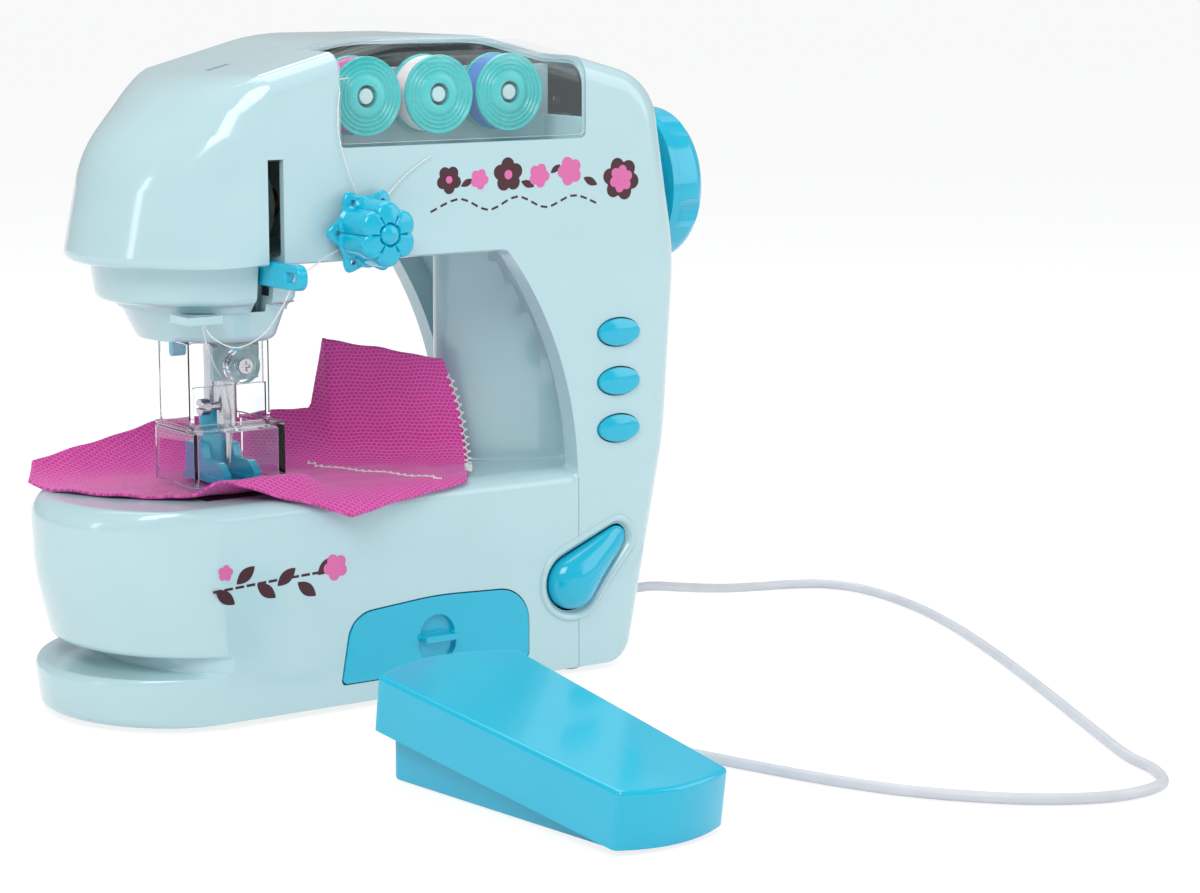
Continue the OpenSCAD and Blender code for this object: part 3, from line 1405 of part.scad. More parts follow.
// Strain relief where the lead enters the pedal
module pedal_gland() color(white_plastic) on_pedal() difference() {
    union() {
        rod_y(base_v1 - pedal_t - 0.1, base_v1 + 1.5, 0, gland_at[2], gland_d);
        rod_y(base_v1 - pedal_t - 2, base_v1 - pedal_t - 0.1, 0, gland_at[2], gland_d + 2);
        translate([0, base_v1 + 1.5, gland_at[2]]) rotate([-90, 0, 0])
            cylinder(h = 9, d1 = gland_d, d2 = cord_d + 1.4);
    }
    rod_y(gland_v - 1, gland_v + 20, 0, gland_at[2], cord_d + 0.4);
}

// Cloth sample under the presser foot

cloth_gap = 0.4;
cloth_mid = bed_z + cloth_gap + cloth_t / 2;
cloth_turn = 56;
cloth_a = [-43, 97];
cloth_lean = 9;
cloth_cells = [30, 18];

// Edges of the cloth and the line where it starts to turn up, as places across against places along
front_edge = [[-43, -24], [-8, -57], [32, -62], [68, -54], [97, -38]];
back_edge = [[-43, 37], [4, 44], [9, 20], [26, 18], [60, 8], [97, -28]];
turn_up = [[-43, -3], [3, -3], [12, -11], [30, -12], [60, -20], [97, -46]];
turn_r = [[3, 9], [12, 22]];
turn_max = [[3, 87], [12, 70]];

// Ridge of the fold in front of the guard and the droop over the base's front edge
function cloth_lift(x, y) =
    let(r = (y + 33.5) / 5.5, droop = max(0, -38 - y))
    5.6 * exp(-r * r) * smooth01((x + 92) / 14) * smooth01((-22 - x) / 14) - 0.035 * droop * droop;

// The cloth lies flat, then turns up behind the guard and stands up before the pillar
function cloth_point(p, q) =
    let(k = cloth_a[0] + (cloth_a[1] - cloth_a[0]) * q,
        b = lookup(k, front_edge) + (lookup(k, back_edge) - lookup(k, front_edge)) * p,
        a = k + cloth_lean * pow(p, 3) * pow(1 - q, 4),
        b0 = lookup(k, turn_up), r = lookup(k, turn_r),
        t = min(lookup(k, turn_max), max(0, b - b0) / r * 180 / PI),
        over = max(0, b - b0 - r * t * PI / 180),
        run = b < b0 ? b : b0 + r * sin(t) + over * cos(t),
        rise = r * (1 - cos(t)) + over * sin(t),
        x = -a * sin(cloth_turn) + run * cos(cloth_turn),
        y = a * cos(cloth_turn) + run * sin(cloth_turn))
    [x, y, cloth_mid + rise + cloth_lift(x, y)];

function cloth_normal(p, q) =
    let(h = 0.004)
    unit(cross(cloth_point(p + h, q) - cloth_point(p - h, q), cloth_point(p, q + h) - cloth_point(p, q - h)));

module sample_cloth() color("#d6429f") difference() {
    nu = cloth_cells[0];
    nv = cloth_cells[1];
    w = nv + 1;
    o = (nu + 1) * w;
    points = [for (s = [1, -1], i = [0 : nu], j = [0 : nv])
        cloth_point(j / nv, i / nu) + s * cloth_t / 2 * cloth_normal(j / nv, i / nu)];
    faces = [for (i = [0 : nu - 1], j = [0 : nv - 1])
        let(a = i * w + j)
        each [[a, a + 1, a + w + 1], [a, a + w + 1, a + w],
            [o + a, o + a + w + 1, o + a + 1], [o + a, o + a + w, o + a + w + 1]]];
    edge = concat([for (j = [0 : nv - 1]) j], [for (i = [0 : nu - 1]) i * w + nv],
        [for (j = [nv : -1 : 1]) nu * w + j], [for (i = [nu : -1 : 1]) i * w]);
    m = len(edge);
    sides = [for (i = [0 : m - 1])
        let(a = edge[i], b = edge[(i + 1) % m])
        each [[b, a, o + a], [b, o + a, o + b]]];
    polyhedron(points, concat(faces, sides));
    rod_z(bed_z - cut, bed_z + 10, needle_x, needle_y, 3);
}

front_casing();
rear_casing();
fixing_screws();
rubber_feet();
head_cup();
head_frame();
drive_frame();
base_frame();
shaft_bushes();
needle_guard();
needle_plate();
spool_tray();
spool_left();
spool_middle();
spool_right();
thread_left();
thread_middle();
thread_right();
spool_lid();
tension_stud();
tension_knob();
take_up_lever();
hinge_pins();
needle_bar();
needle_yoke();
needle();
needle_clamp_screw();
presser_bar();
presser_foot();
presser_lifter();
presser_spring();
pedal_spring();
feed_dog();
looper();
lower_shaft();
lower_pulley();
timing_belt();
handwheel();
main_shaft();
drive_gear();
crank_disc();
motor();
motor_pinion();
button_top();
button_middle();
button_bottom();
control_board();
power_switch();
switch_block();
drawer();
battery_box();
battery_cells();
battery_door();
power_jack();
cord_plug();
cord();
pedal_base();
pedal_top();
pedal_gland();
sample_cloth();
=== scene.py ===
import json
import math

import bmesh
import bpy
import numpy as np
from mathutils import Matrix, Vector


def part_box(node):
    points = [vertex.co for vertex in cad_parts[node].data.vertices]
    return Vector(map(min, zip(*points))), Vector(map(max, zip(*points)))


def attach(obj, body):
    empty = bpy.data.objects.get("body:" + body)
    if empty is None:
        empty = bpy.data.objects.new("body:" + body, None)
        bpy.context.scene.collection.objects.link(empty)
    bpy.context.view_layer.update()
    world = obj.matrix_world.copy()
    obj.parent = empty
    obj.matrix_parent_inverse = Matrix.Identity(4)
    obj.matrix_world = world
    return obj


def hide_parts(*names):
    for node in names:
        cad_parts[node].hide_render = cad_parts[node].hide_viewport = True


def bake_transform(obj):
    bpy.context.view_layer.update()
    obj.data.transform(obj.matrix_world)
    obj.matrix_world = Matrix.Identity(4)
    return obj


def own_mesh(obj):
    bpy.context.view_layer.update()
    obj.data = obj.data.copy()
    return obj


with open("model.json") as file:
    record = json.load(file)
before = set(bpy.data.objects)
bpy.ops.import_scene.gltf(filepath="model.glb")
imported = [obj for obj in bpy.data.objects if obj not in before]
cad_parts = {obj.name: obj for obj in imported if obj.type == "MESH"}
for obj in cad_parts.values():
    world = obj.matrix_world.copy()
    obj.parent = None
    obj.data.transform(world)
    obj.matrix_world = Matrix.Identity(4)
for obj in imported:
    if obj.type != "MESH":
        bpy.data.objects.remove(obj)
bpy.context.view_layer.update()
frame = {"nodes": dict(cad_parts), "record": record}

mm = 0.001
scene = bpy.context.scene
scene.view_settings.view_transform = "Standard"
bodyOf = {n: b for b, ns in frame["record"]["behaviour"]["bodies"].items() for n in ns}
slotOf = {s["node"]: s["material_slot"] for s in frame["record"]["subparts"]}
print("frame loaded,", len(bodyOf), "nodes")

# Camera at the photograph's angle, in millimetres of the machine's frame
view = {"at": (-489.046, -860.129, 240.87), "pitch": 9.40, "side": (0.8227, -0.5685, 0.0), "lens": 90, "sensor": 36}
pitch = math.radians(view["pitch"])
side = np.array(view["side"])
level = np.array([-side[1], side[0], 0.0])
ahead = math.cos(pitch) * level - math.sin(pitch) * np.array([0, 0, 1.0])
above = math.sin(pitch) * level + math.cos(pitch) * np.array([0, 0, 1.0])


def poseOf(*columns):  # matrix from three axes and a place
    pose = np.eye(4)
    pose[:3] = np.stack(columns, -1)
    return Matrix(pose.tolist())


camera = bpy.data.objects.new("camera", bpy.data.cameras.new("camera"))
scene.collection.objects.link(camera)
camera.matrix_world = poseOf(side, above, -ahead, np.array(view["at"]) * mm)
camera.data.lens, camera.data.sensor_width = view["lens"], view["sensor"]
camera.data.clip_start, camera.data.clip_end = 0.01, 50
scene.camera = camera


# Materials

def tint(red, green, blue):  # display colour of 0 to 255 as linear light
    v = np.array([red, green, blue]) / 255
    return tuple(np.where(v <= 0.04045, v / 12.92, ((v + 0.055) / 1.055) ** 2.4)) + (1.0,)


def setInputs(node, values):  # constants on a node's sockets
    for key, value in values.items():
        node.inputs[key].default_value = value
    return node


def added(tree, kind, values):  # new shader node with constants on its sockets
    return setInputs(tree.nodes.new("ShaderNode" + kind), values)


def shader(name):  # material, its node tree and its main shader
    made = bpy.data.materials.new(name)
    made.use_nodes = True
    return made, made.node_tree, made.node_tree.nodes["Principled BSDF"]


def noiseAt(tree, size, detail=2.0):  # noise over the object's own place; size is a blotch in mm
    grain = added(tree, "TexNoise", {"Scale": 1000 / size, "Detail": detail})
    tree.links.new(added(tree, "TexCoord", {}).outputs["Object"], grain.inputs["Vector"])
    return grain.outputs["Fac"]


def colourBy(tree, value, colour, low, high, start=0.3, end=0.7):  # base colour, from its low to its high share
    ramp = added(tree, "ValToRGB", {})
    for stop, place, share in zip(ramp.color_ramp.elements, (start, end), (low, high)):
        stop.position, stop.color = place, tuple(min(1.0, c * share) for c in colour[:3]) + (1.0,)
    tree.links.new(value, ramp.inputs["Fac"])
    tree.links.new(ramp.outputs["Color"], tree.nodes["Principled BSDF"].inputs["Base Color"])


def roughBy(tree, value, low, high):  # roughness from low to high
    reach = added(tree, "MapRange", {"To Min": low, "To Max": high})
    tree.links.new(value, reach.inputs["Value"])
    tree.links.new(reach.outputs["Result"], tree.nodes["Principled BSDF"].inputs["Roughness"])


def bumpBy(tree, height, strength, depth):  # relief; depth in mm
    bump = added(tree, "Bump", {"Strength": strength, "Distance": depth * mm})
    tree.links.new(height, bump.inputs["Height"])
    tree.links.new(bump.outputs["Normal"], tree.nodes["Principled BSDF"].inputs["Normal"])


def moulded(name, colour, rough=0.22, coat=0.25, spread=0.04, peel=0.05):  # gloss plastic: blotches and orange peel
    made, tree, main = shader(name)
    colourBy(tree, noiseAt(tree, 26), colour, 1 - spread, 1 + spread)
    roughBy(tree, noiseAt(tree, 7, 4), rough - 0.05, rough + 0.07)
    bumpBy(tree, noiseAt(tree, 1.6, 3), peel, 0.05)
    setInputs(main, {"Coat Weight": coat, "Coat Roughness": 0.06, "IOR": 1.5})
    return made


def clearPlastic(name, colour):  # see-through plastic with faint flow marks
    made, tree, main = shader(name)
    setInputs(main, {"Base Color": colour, "Transmission Weight": 1.0, "IOR": 1.33})
    roughBy(tree, noiseAt(tree, 9, 3), 0.0, 0.06)
    bumpBy(tree, noiseAt(tree, 14, 2), 0.05, 0.1)
    return made


def metal(name, colour, rough):  # brushed metal with fine lines
    made, tree, main = shader(name)
    stretch = added(tree, "Mapping", {"Scale": (700, 700, 9000)})
    grain = added(tree, "TexNoise", {"Scale": 1.0})
    tree.links.new(added(tree, "TexCoord", {}).outputs["Object"], stretch.inputs["Vector"])
    tree.links.new(stretch.outputs["Vector"], grain.inputs["Vector"])
    colourBy(tree, grain.outputs["Fac"], colour, 0.85, 1.08)
    roughBy(tree, grain.outputs["Fac"], rough - 0.06, rough + 0.1)
    setInputs(main, {"Metallic": 1.0})
    return made


def rubbery(name, colour, rough=0.5):  # soft plastic with a fine matt grain
    made, tree, main = shader(name)
    colourBy(tree, noiseAt(tree, 12), colour, 0.95, 1.03)
    bumpBy(tree, noiseAt(tree, 0.5, 2), 0.12, 0.06)
    setInputs(main, {"Roughness": rough})
    return made


def spunYarn(name, colour):  # wound thread: fine fibres and a soft sheen
    made, tree, main = shader(name)
    colourBy(tree, noiseAt(tree, 0.35, 3), colour, 0.72, 1.12)
    setInputs(main, {"Roughness": 0.55, "Sheen Weight": 0.4})
    return made


casingPlastic = moulded("casingPlastic", tint(184, 215, 220), rough=0.15, coat=0.5, spread=0.012, peel=0.03)
bluePlastic = moulded("bluePlastic", tint(4, 182, 214), rough=0.15, coat=0.35, spread=0.02)
spoolPlastic = moulded("spoolPlastic", tint(46, 203, 203), rough=0.26)
trayPlastic = moulded("trayPlastic", tint(196, 228, 231), rough=0.3)
whitePlastic = moulded("whitePlastic", tint(228, 232, 232), rough=0.35, coat=0.1)
darkPlastic = moulded("darkPlastic", tint(38, 42, 48), rough=0.4, coat=0.0)
boardGreen = moulded("boardGreen", tint(52, 120, 78), rough=0.45, coat=0.1)
lidClear = moulded("lidClear", tint(240, 248, 250), rough=0.07, coat=0.0)  # thin clear sheet: part mirror, rest open
setInputs(lidClear.node_tree.nodes["Principled BSDF"], {"Metallic": 1.0, "Alpha": 0.05})
lidEdgeHighlight = moulded("lidEdgeHighlight", tint(236, 247, 250), rough=0.12, coat=0.2)  # cut edge of the sheet, paler and less clear than the sheet: painted highlight for the light the edge gathers
setInputs(lidEdgeHighlight.node_tree.nodes["Principled BSDF"], {"Alpha": 0.55})
guardClear = clearPlastic("guardClear", (0.95, 0.97, 0.985, 1.0))
brightSteel = metal("brightSteel", tint(206, 207, 212), 0.22)
bronze = metal("bronze", tint(178, 142, 92), 0.35)
feetRubber = rubbery("feetRubber", tint(150, 196, 201))
beltRubber = rubbery("beltRubber", tint(44, 47, 54))
leadJacket = rubbery("leadJacket", tint(206, 208, 214), 0.38)
pinkYarn = spunYarn("pinkYarn", tint(226, 92, 170))
whiteYarn = spunYarn("whiteYarn", tint(240, 240, 238))
blueYarn = spunYarn("blueYarn", tint(44, 130, 214))
maroonInk = moulded("maroonInk", tint(64, 17, 32), rough=0.4, coat=0.0, spread=0.1)
pinkInk = moulded("pinkInk", tint(219, 106, 168), rough=0.4, coat=0.0, spread=0.06)
slotLook = {"casing": casingPlastic, "blue": bluePlastic, "turquoise": spoolPlastic, "tray": trayPlastic,
            "white": whitePlastic, "cord": leadJacket, "dark": darkPlastic, "board": boardGreen, "belt": beltRubber,
            "feet": feetRubber, "clear": guardClear, "steel": brightSteel, "bronze": bronze, "thread_pink": pinkYarn,
            "thread_white": whiteYarn,
            "thread_blue": blueYarn}
for node, slot in slotOf.items():
    mesh = frame["nodes"][node].data
    mesh.materials.clear()
    mesh.materials.append(slotLook.get(slot, whitePlastic))
print("materials made")


# Mesh helpers, all lengths in mm until the mesh is filled

def keep(name, verts, faces, material):  # mesh object at the origin from points in mm
    mesh = bpy.data.meshes.new(name)
    mesh.from_pydata(np.asarray(verts) * mm, [], faces)
    mesh.materials.append(material)
    made = bpy.data.objects.new(name, mesh)
    scene.collection.objects.link(made)
    return made


def finishLook(piece, sharp=32, bevel=0.0, weighted=True):  # smooth shading by angle, with an optional rounded edge
    mesh = piece.data
    mesh.polygons.foreach_set("use_smooth", np.ones(len(mesh.polygons), dtype=bool))
    mesh.set_sharp_from_angle(angle=math.radians(sharp))
    if bevel:
        rounding = piece.modifiers.new("roundedEdges", "BEVEL")
        rounding.width, rounding.segments = bevel * mm, 2
        rounding.limit_method, rounding.angle_limit = "ANGLE", math.radians(sharp)
    if weighted:
        piece.modifiers.new("evenNormals", "WEIGHTED_NORMAL").keep_sharp = True
    return piece


def ringFaces(count, around, flip=False):  # quads between count rings of around points
    i, j = np.meshgrid(np.arange(count - 1), np.arange(around), indexing="ij")
    a, b = i * around + j, i * around + (j + 1) % around
    quads = np.stack([a, b, b + around, a + around], -1).reshape(-1, 4)
    return (quads[:, ::-1] if flip else quads).tolist()


def ringPiece(name, rings, material, capFirst=True, capLast=True, flip=False):  # closed skin over rings
    count, around = rings.shape[:2]
    faces = ringFaces(count, around, flip)
    order = list(range(around))
    first, last = order[::-1], [(count - 1) * around + k for k in order]
    if flip:
        first, last = first[::-1], last[::-1]
    if capFirst:
        faces.append(first)
    if capLast:
        faces.append(last)
    return keep(name, rings.reshape(-1, 3), faces, material)


def turns(n):  # n even angles round a circle
    return np.linspace(0, 2 * np.pi, n, endpoint=False)


def spokeAt(a):  # points of the unit circle at angles a
    return np.stack([np.cos(a), np.sin(a)], -1)


def unit(v):  # vectors of the last axis at length one
    return v / np.linalg.norm(v, axis=-1, keepdims=True)


def leftOf(v):  # flat vectors turned a quarter to the left
    return np.stack([-v[..., 1], v[..., 0]], -1)


def swing(v, a):  # flat vectors turned by angles a
    return v * np.cos(a)[..., None] + leftOf(v) * np.sin(a)[..., None]


def runOf(route):  # distance along a route at each of its points
    return np.concatenate([[0], np.cumsum(np.linalg.norm(np.diff(route, axis=0), axis=1))])


def evenOutline(points, spacing, soft=0.0, count=None):  # closed outline at even spacing, corners blurred by soft
    p = np.vstack([points, points[:1]])
    run = runOf(p)
    n = count or max(12, int(run[-1] / spacing))
    at = np.linspace(0, run[-1], n, endpoint=False)
    q = np.stack([np.interp(at, run, p[:, k]) for k in (0, 1)], -1)
    if soft:
        wave = np.fft.fftfreq(n, d=run[-1] / n)
        q = np.fft.ifft(np.fft.fft(q, axis=0) * np.exp(-2 * (np.pi * wave * soft) ** 2)[:, None], axis=0).real
    return q


def inwards(outline):  # unit normals to the left of a counter-clockwise outline
    return leftOf(unit(np.roll(outline, -1, axis=0) - np.roll(outline, 1, axis=0)))


def atDepth(flat, y):  # front-view points to space at depth y
    return np.stack([flat[:, 0], np.broadcast_to(y, len(flat)), flat[:, 1]], -1)


def onFront(flat, height):  # front-view points to space, height out of the front face
    return atDepth(flat, frontY - height)


def panelPiece(name, outline, profile, material, place=onFront, centre=None):  # (inset, height, scale) steps
    c = outline.mean(0) if centre is None else np.array(centre)
    n = inwards(outline)
    rings = [place(c + (outline + n * g - c) * share, h) for g, h, share in profile]
    return ringPiece(name, np.array(rings), material, flip=True)


def ride(piece, body, slot=None, *nodes):  # piece moves with a body and stands for CAD nodes
    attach(piece, body)
    if nodes:
        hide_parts(*nodes)
    return piece


def ovalOf(x, z, w, h, n=72):  # oval outline, counter-clockwise
    return [x, z] + np.array([w, h]) / 2 * spokeAt(turns(n))


def circleOf(x, z, r, n=40):
    return ovalOf(x, z, 2 * r, 2 * r, n)


def boxOutline(x0, x1, z0, z1):
    return np.array([[x0, z0], [x1, z0], [x1, z1], [x0, z1]], float)


def prismY(outline, y0, y1, far=None):  # outline of the front view from depth y0 to y1, or on to a far one there
    rings = [atDepth(outline, y0), atDepth(outline if far is None else far, y1)]
    return ringPiece("cutter", np.array(rings), casingPlastic)


def prismZ(outline, z0, z1):  # outline of the plan carried from height z0 to z1
    flat = [np.column_stack([outline, np.full(len(outline), z)]) for z in (z0, z1)]
    return ringPiece("cutter", np.array(flat), casingPlastic)


def prismX(outline, x0, x1):  # outline of the side view carried from x0 to x1
    flat = [np.column_stack([np.full(len(outline), x), outline]) for x in (x0, x1)]
    return ringPiece("cutter", np.array(flat), casingPlastic)


def outwards(piece, weld=False):  # faces of a closed skin turned out, after its doubled points are joined if asked
    b = bmesh.new()
    b.from_mesh(piece.data)
    if weld:
        bmesh.ops.remove_doubles(b, verts=b.verts, dist=1e-7)
    bmesh.ops.recalc_face_normals(b, faces=b.faces)
    b.to_mesh(piece.data)
    b.free()
    return piece


def cutWith(piece, cutters, operation="DIFFERENCE", edge=None):  # one boolean by cutters that don't touch each other
    b = bmesh.new()
    for c in cutters:
        b.from_mesh(outwards(c).data)
    joined = bpy.data.meshes.new("cutters")
    b.to_mesh(joined)
    b.free()
    for c in cutters:
        bpy.data.objects.remove(c)
    tool = bpy.data.objects.new("cutters", joined)
    scene.collection.objects.link(tool)
    step = piece.modifiers.new("cut", "BOOLEAN")
    step.object, step.operation, step.solver = tool, operation, "EXACT"
    if edge:
        joined.materials.append(edge)
        step.material_mode = "TRANSFER"
    done = bpy.data.meshes.new_from_object(piece.evaluated_get(bpy.context.evaluated_depsgraph_get()))
    piece.modifiers.clear()
    piece.data = done
    bpy.data.objects.remove(tool)
    return piece


def weigh(b, rims):  # marks the outer edges at the given heights, between a flank and a face that looks down
    layer = b.edges.layers.float.new("bevel_weight_edge")
    for e in b.edges:
        ends = [v.co / mm for v in e.verts]
        if len(e.link_faces) != 2 or not any(all(abs(v.z - z) < 0.05 for v in ends) for z in rims["z"]):
            continue
        under, flank = sorted((f.normal for f in e.link_faces), key=lambda normal: normal.z)
        out = (ends[0] + ends[1]) / 2 - Vector((*rims["centre"], 0))
        outer = flank.x * out.x + flank.y * out.y > 0 and out.xy.length > rims["reach"]
        if under.z < -0.9 and flank.z < 0.5 and outer:
            e[layer] = 1.0


def dress(node, material=None, bevel=0.25, sharp=34, cutters=(), rims=None):  # merged copy of a CAD node
    mesh = frame["nodes"][node].data.copy()
    b = bmesh.new()
    b.from_mesh(mesh)
    bmesh.ops.remove_doubles(b, verts=b.verts, dist=3e-6)
    bmesh.ops.dissolve_limit(b, angle_limit=math.radians(0.5), verts=b.verts, edges=b.edges)
    if rims:
        weigh(b, rims)
    b.to_mesh(mesh)
    b.free()
    if "custom_normal" in mesh.attributes:
        mesh.attributes.remove(mesh.attributes["custom_normal"])
    piece = bpy.data.objects.new(node + "_skin", mesh)
    scene.collection.objects.link(piece)
    mesh.materials.clear()
    mesh.materials.append(material or slotLook[slotOf[node]])
    if cutters:
        cutWith(piece, list(cutters))
    if rims:
        bold = piece.modifiers.new("boldRims", "BEVEL")
        bold.width, bold.segments = rims["width"] * mm, 5
        bold.limit_method, bold.use_clamp_overlap = "WEIGHT", False
    finishLook(piece, sharp, bevel)
    return ride(piece, bodyOf[node], slotOf[node], node)


def curveThrough(points, spacing):  # smooth curve through points, a cubic between each two, at about even spacing
    p = np.asarray(points, float)
    ext = np.vstack([p[:1], p, p[-1:]])
    out = []
    for a, b, c, d in zip(ext[:-3], ext[1:-2], ext[2:-1], ext[3:]):
        t = np.linspace(0, 1, max(2, int(np.linalg.norm(c - b) / spacing) + 1), endpoint=False)[:, None]
        bend = (2 * a - 5 * b + 4 * c - d) / 2 * t ** 2 + (3 * b - a - 3 * c + d) / 2 * t ** 3
        out.append(b + (c - a) / 2 * t + bend)
    return np.vstack(out + [p[-1:]])


def tubeRings(route, radius, sides):  # circles square to a route, carried without twist from an upright start
    t = unit(np.gradient(route, axis=0))
    up = np.where(np.abs(t[:, 2:3]) > 0.95, [[1.0, 0, 0]], [[0, 0, 1.0]])
    a = unit(np.cross(t, up))
    b = np.cross(a, t)
    w = turns(sides)[None, :, None]
    return route[:, None] + radius * (np.cos(w) * a[:, None] + np.sin(w) * b[:, None])


def tube(name, path, radius, sides, material):
    return finishLook(ringPiece(name, tubeRings(path, radius, sides), material, flip=True), weighted=False)


# Lead from the machine to the pedal, on the route of its solid
lead = {"diameter": 3.4, "sides": 20, "spacing": 2.0, "low": 1.8, "pedalAt": (-23.9, -220), "pedalTurn": 5.3,
        "glandV": 106.5, "glandZ": 6.6}
turn = math.radians(lead["pedalTurn"])
low, glandV, glandZ = lead["low"], lead["glandV"], lead["glandZ"]


def onPedal(points):  # pedal's own axes to the machine's
    return np.concatenate([lead["pedalAt"] + swing(points[..., :2], turn), points[..., 2:]], -1)


leadRoute = [(109.4, -8, 17), (114.4, -8, 17), (124, -7, 16.4), (140, -1, 13), (157, 8, 9), (177, 17, 5),
             (195, 22, 2.6), (210, 21, low), (221, 13, low), (226, -3, low), (223, -32, low), (213, -66, low),
             (196, -108, low), (175, -154, low), (153, -200, low), (139, -230, low), (134, -247, low),
             (124, -259, low), (104, -260, low), (82, -248, low), (62, -226, low), (49, -202, low), (38, -172, low),
             (28, -142, low), (15, -114, low), (-2, -93, low), (-19, -84, low), (-31, -90, 3),
             *onPedal(np.array([(0, glandV + 9, 6.5), (0, glandV + 4.5, glandZ), (0, glandV, glandZ)]))]
leadPath = curveThrough(leadRoute, lead["spacing"])
leadPiece = tube("pedal_lead", leadPath, lead["diameter"] / 2, lead["sides"], leadJacket)
ride(leadPiece, "machine", "cord", "cord")
plugSkin = dress("cord_plug", whitePlastic, 0.3)
glandSkin = dress("pedal_gland", whitePlastic, 0.25)


# Casing: the two shells worked out from the same corners as the solids, with more rings

casing = {"depth": 89, "wall": 2.5, "edge": 7, "armZ": 144, "crestZ": 213.5, "bedZ": 70, "rimZ": 1.6, "noseX": -94,
          "bedX": -107.5, "rightX": 106.5, "bulge": 9, "throatR": 127, "throatC": (-61.3, 66), "plate": 7.5,
          "groove": 9, "pillarX": 38, "pillarK": 0.077, "noseC": -46, "bedC": -60, "notchX": -86, "fine": 4,
          "throatSteps": 24, "swellX": 75,
          "swellRun": 25}
half = casing["depth"] / 2
frontY = -half
armZ, bedZ, rimZ, crestZ = (casing[k] for k in ("armZ", "bedZ", "rimZ", "crestZ"))
bedX, noseX, notchX, rightX = (casing[k] for k in ("bedX", "noseX", "notchX", "rightX"))
wall, edge = casing["wall"], casing["edge"]


def throatEdge(z):  # arc of the throat on the plates
    return casing["throatC"][0] + np.sqrt(casing["throatR"] ** 2 - (z - casing["throatC"][1]) ** 2)


def throatAt(z, y, t):  # throat's wall at height z: plates, groove behind them and the round pillar
    pillar = casing["pillarX"] + t + casing["pillarK"] * (np.abs(y) + t) ** 2
    inner = np.minimum(throatEdge(z) + casing["groove"] + t, pillar)
    return inner if t > 0 else np.where(np.abs(y) > half - casing["plate"] - 0.1, throatEdge(z), inner)


def casingRings(y, t):  # outline at each depth y, drawn in by t and the edge rounding, then narrowed to the plan
    zs = armZ + (bedZ - armZ) * np.arange(1, casing["throatSteps"]) / casing["throatSteps"]
    corner = [  # x, z, radius, steps of its arc, share of the edge rounding
        (bedX + 2, rimZ, 3, 2, 0.1), (rightX - 18.5, rimZ, 9, 4, 1), (rightX - 4, 78, 120, 4, 1),
        (rightX, 140, 100, 4, 1), (rightX - 9.5, crestZ - 15, 20, 6, 1), (44, crestZ, 60, 4, 1), (-8, crestZ, 80, 4, 1),
        (noseX + 32, crestZ - 13.5, 45, 4, 1), (noseX + 8, crestZ - 35.5, 34, 4, 1), (noseX, armZ, 3, 2, 0.2),
        (throatAt(armZ, y, t) - t, armZ, 4, 3, 0), *[(throatAt(z, y, t), z, 0, 0, 0) for z in zs],
        (throatAt(bedZ, y, t) - t, bedZ, 3, 3, 0.7), (bedX, bedZ, 7, 4, 0), (bedX + 1, 46, 60, 3, 0),
        (bedX + 6.5, 24, 3, 2, 0), (notchX, 22.5, 1, 1, 0), (notchX, 18, 1, 1, 0), (bedX, 17, 2.5, 3, 0)]
    p = np.stack([np.stack([np.broadcast_to(k[0], y.shape), np.full(y.shape, float(k[1]))], -1) for k in corner], 1)
    r, steps, share = (np.array([k[i] for k in corner], float) for i in (2, 3, 4))
    u = np.maximum(0, np.abs(y) - (half - t) + edge)
    drawn = edge - np.sqrt(np.maximum(0, edge ** 2 - u ** 2))

    def legs(q):  # unit legs before and after each corner, and their lengths
        v = np.roll(q, -1, axis=1) - q
        size = np.linalg.norm(v, axis=2)
        v = v / size[..., None]
        return np.roll(v, 1, axis=1), v, np.roll(size, 1, axis=1), size

    def cross(a, b):
        return a[..., 0] * b[..., 1] - a[..., 1] * b[..., 0]

    uu, vv = legs(p)[:2]
    k = cross(uu, vv)
    d2 = t + drawn[:, None] * share
    d1 = np.roll(d2, 1, axis=1)
    n1, n2 = leftOf(uu), leftOf(vv)
    w = n2 * d2[..., None] - n1 * d1[..., None]
    flat = np.abs(k) < 0.005
    slide = np.where(flat, 0, cross(w, vv) / np.where(flat, 1, k))
    q = np.where((steps == 0)[None, :, None], p, p + n1 * d1[..., None] + uu * slide[..., None])
    r = np.maximum(0.3, r - np.sign(k) * (d1 + d2) / 2)
    uu, vv, before, after = legs(q)
    turnBy = np.arccos(np.clip((uu * vv).sum(-1), -1, 1))
    sideOf = np.sign(cross(uu, vv))
    cutBack = np.minimum(r * np.tan(turnBy / 2), 0.48 * np.minimum(before, after))
    radius = cutBack / np.maximum(1e-9, np.tan(turnBy / 2))
    out = []
    for i in range(len(corner)):
        if steps[i] == 0:
            out.append(q[:, i:i + 1])
            continue
        a = np.linspace(0, 1, int(steps[i]) * casing["fine"] + 1)[None] * (sideOf[:, i] * turnBy[:, i])[:, None]
        spoke = (sideOf * radius)[:, i, None] * leftOf(uu[:, i])
        mid = q[:, i] - uu[:, i] * cutBack[:, i, None] + spoke
        out.append(mid[:, None] + swing(-spoke[:, None], a))
    xz = np.concatenate(out, 1)
    x, z = xz[..., 0], xz[..., 1]
    middle = np.where(z > (armZ + bedZ) / 2, casing["noseC"], casing["bedC"])
    narrow = np.sqrt(np.maximum(0, 1 - (y / (half + 0.5 - t)) ** 2))[:, None]
    deepest = casing["bulge"] * (1 - (y / half) ** 2)[:, None]
    swell = deepest * np.clip((x - casing["swellX"]) / casing["swellRun"], 0, 1)
    x = np.where(x < middle, middle + (x - middle) * narrow, x + swell)
    return np.stack([x, np.broadcast_to(y[:, None], x.shape), z], -1)


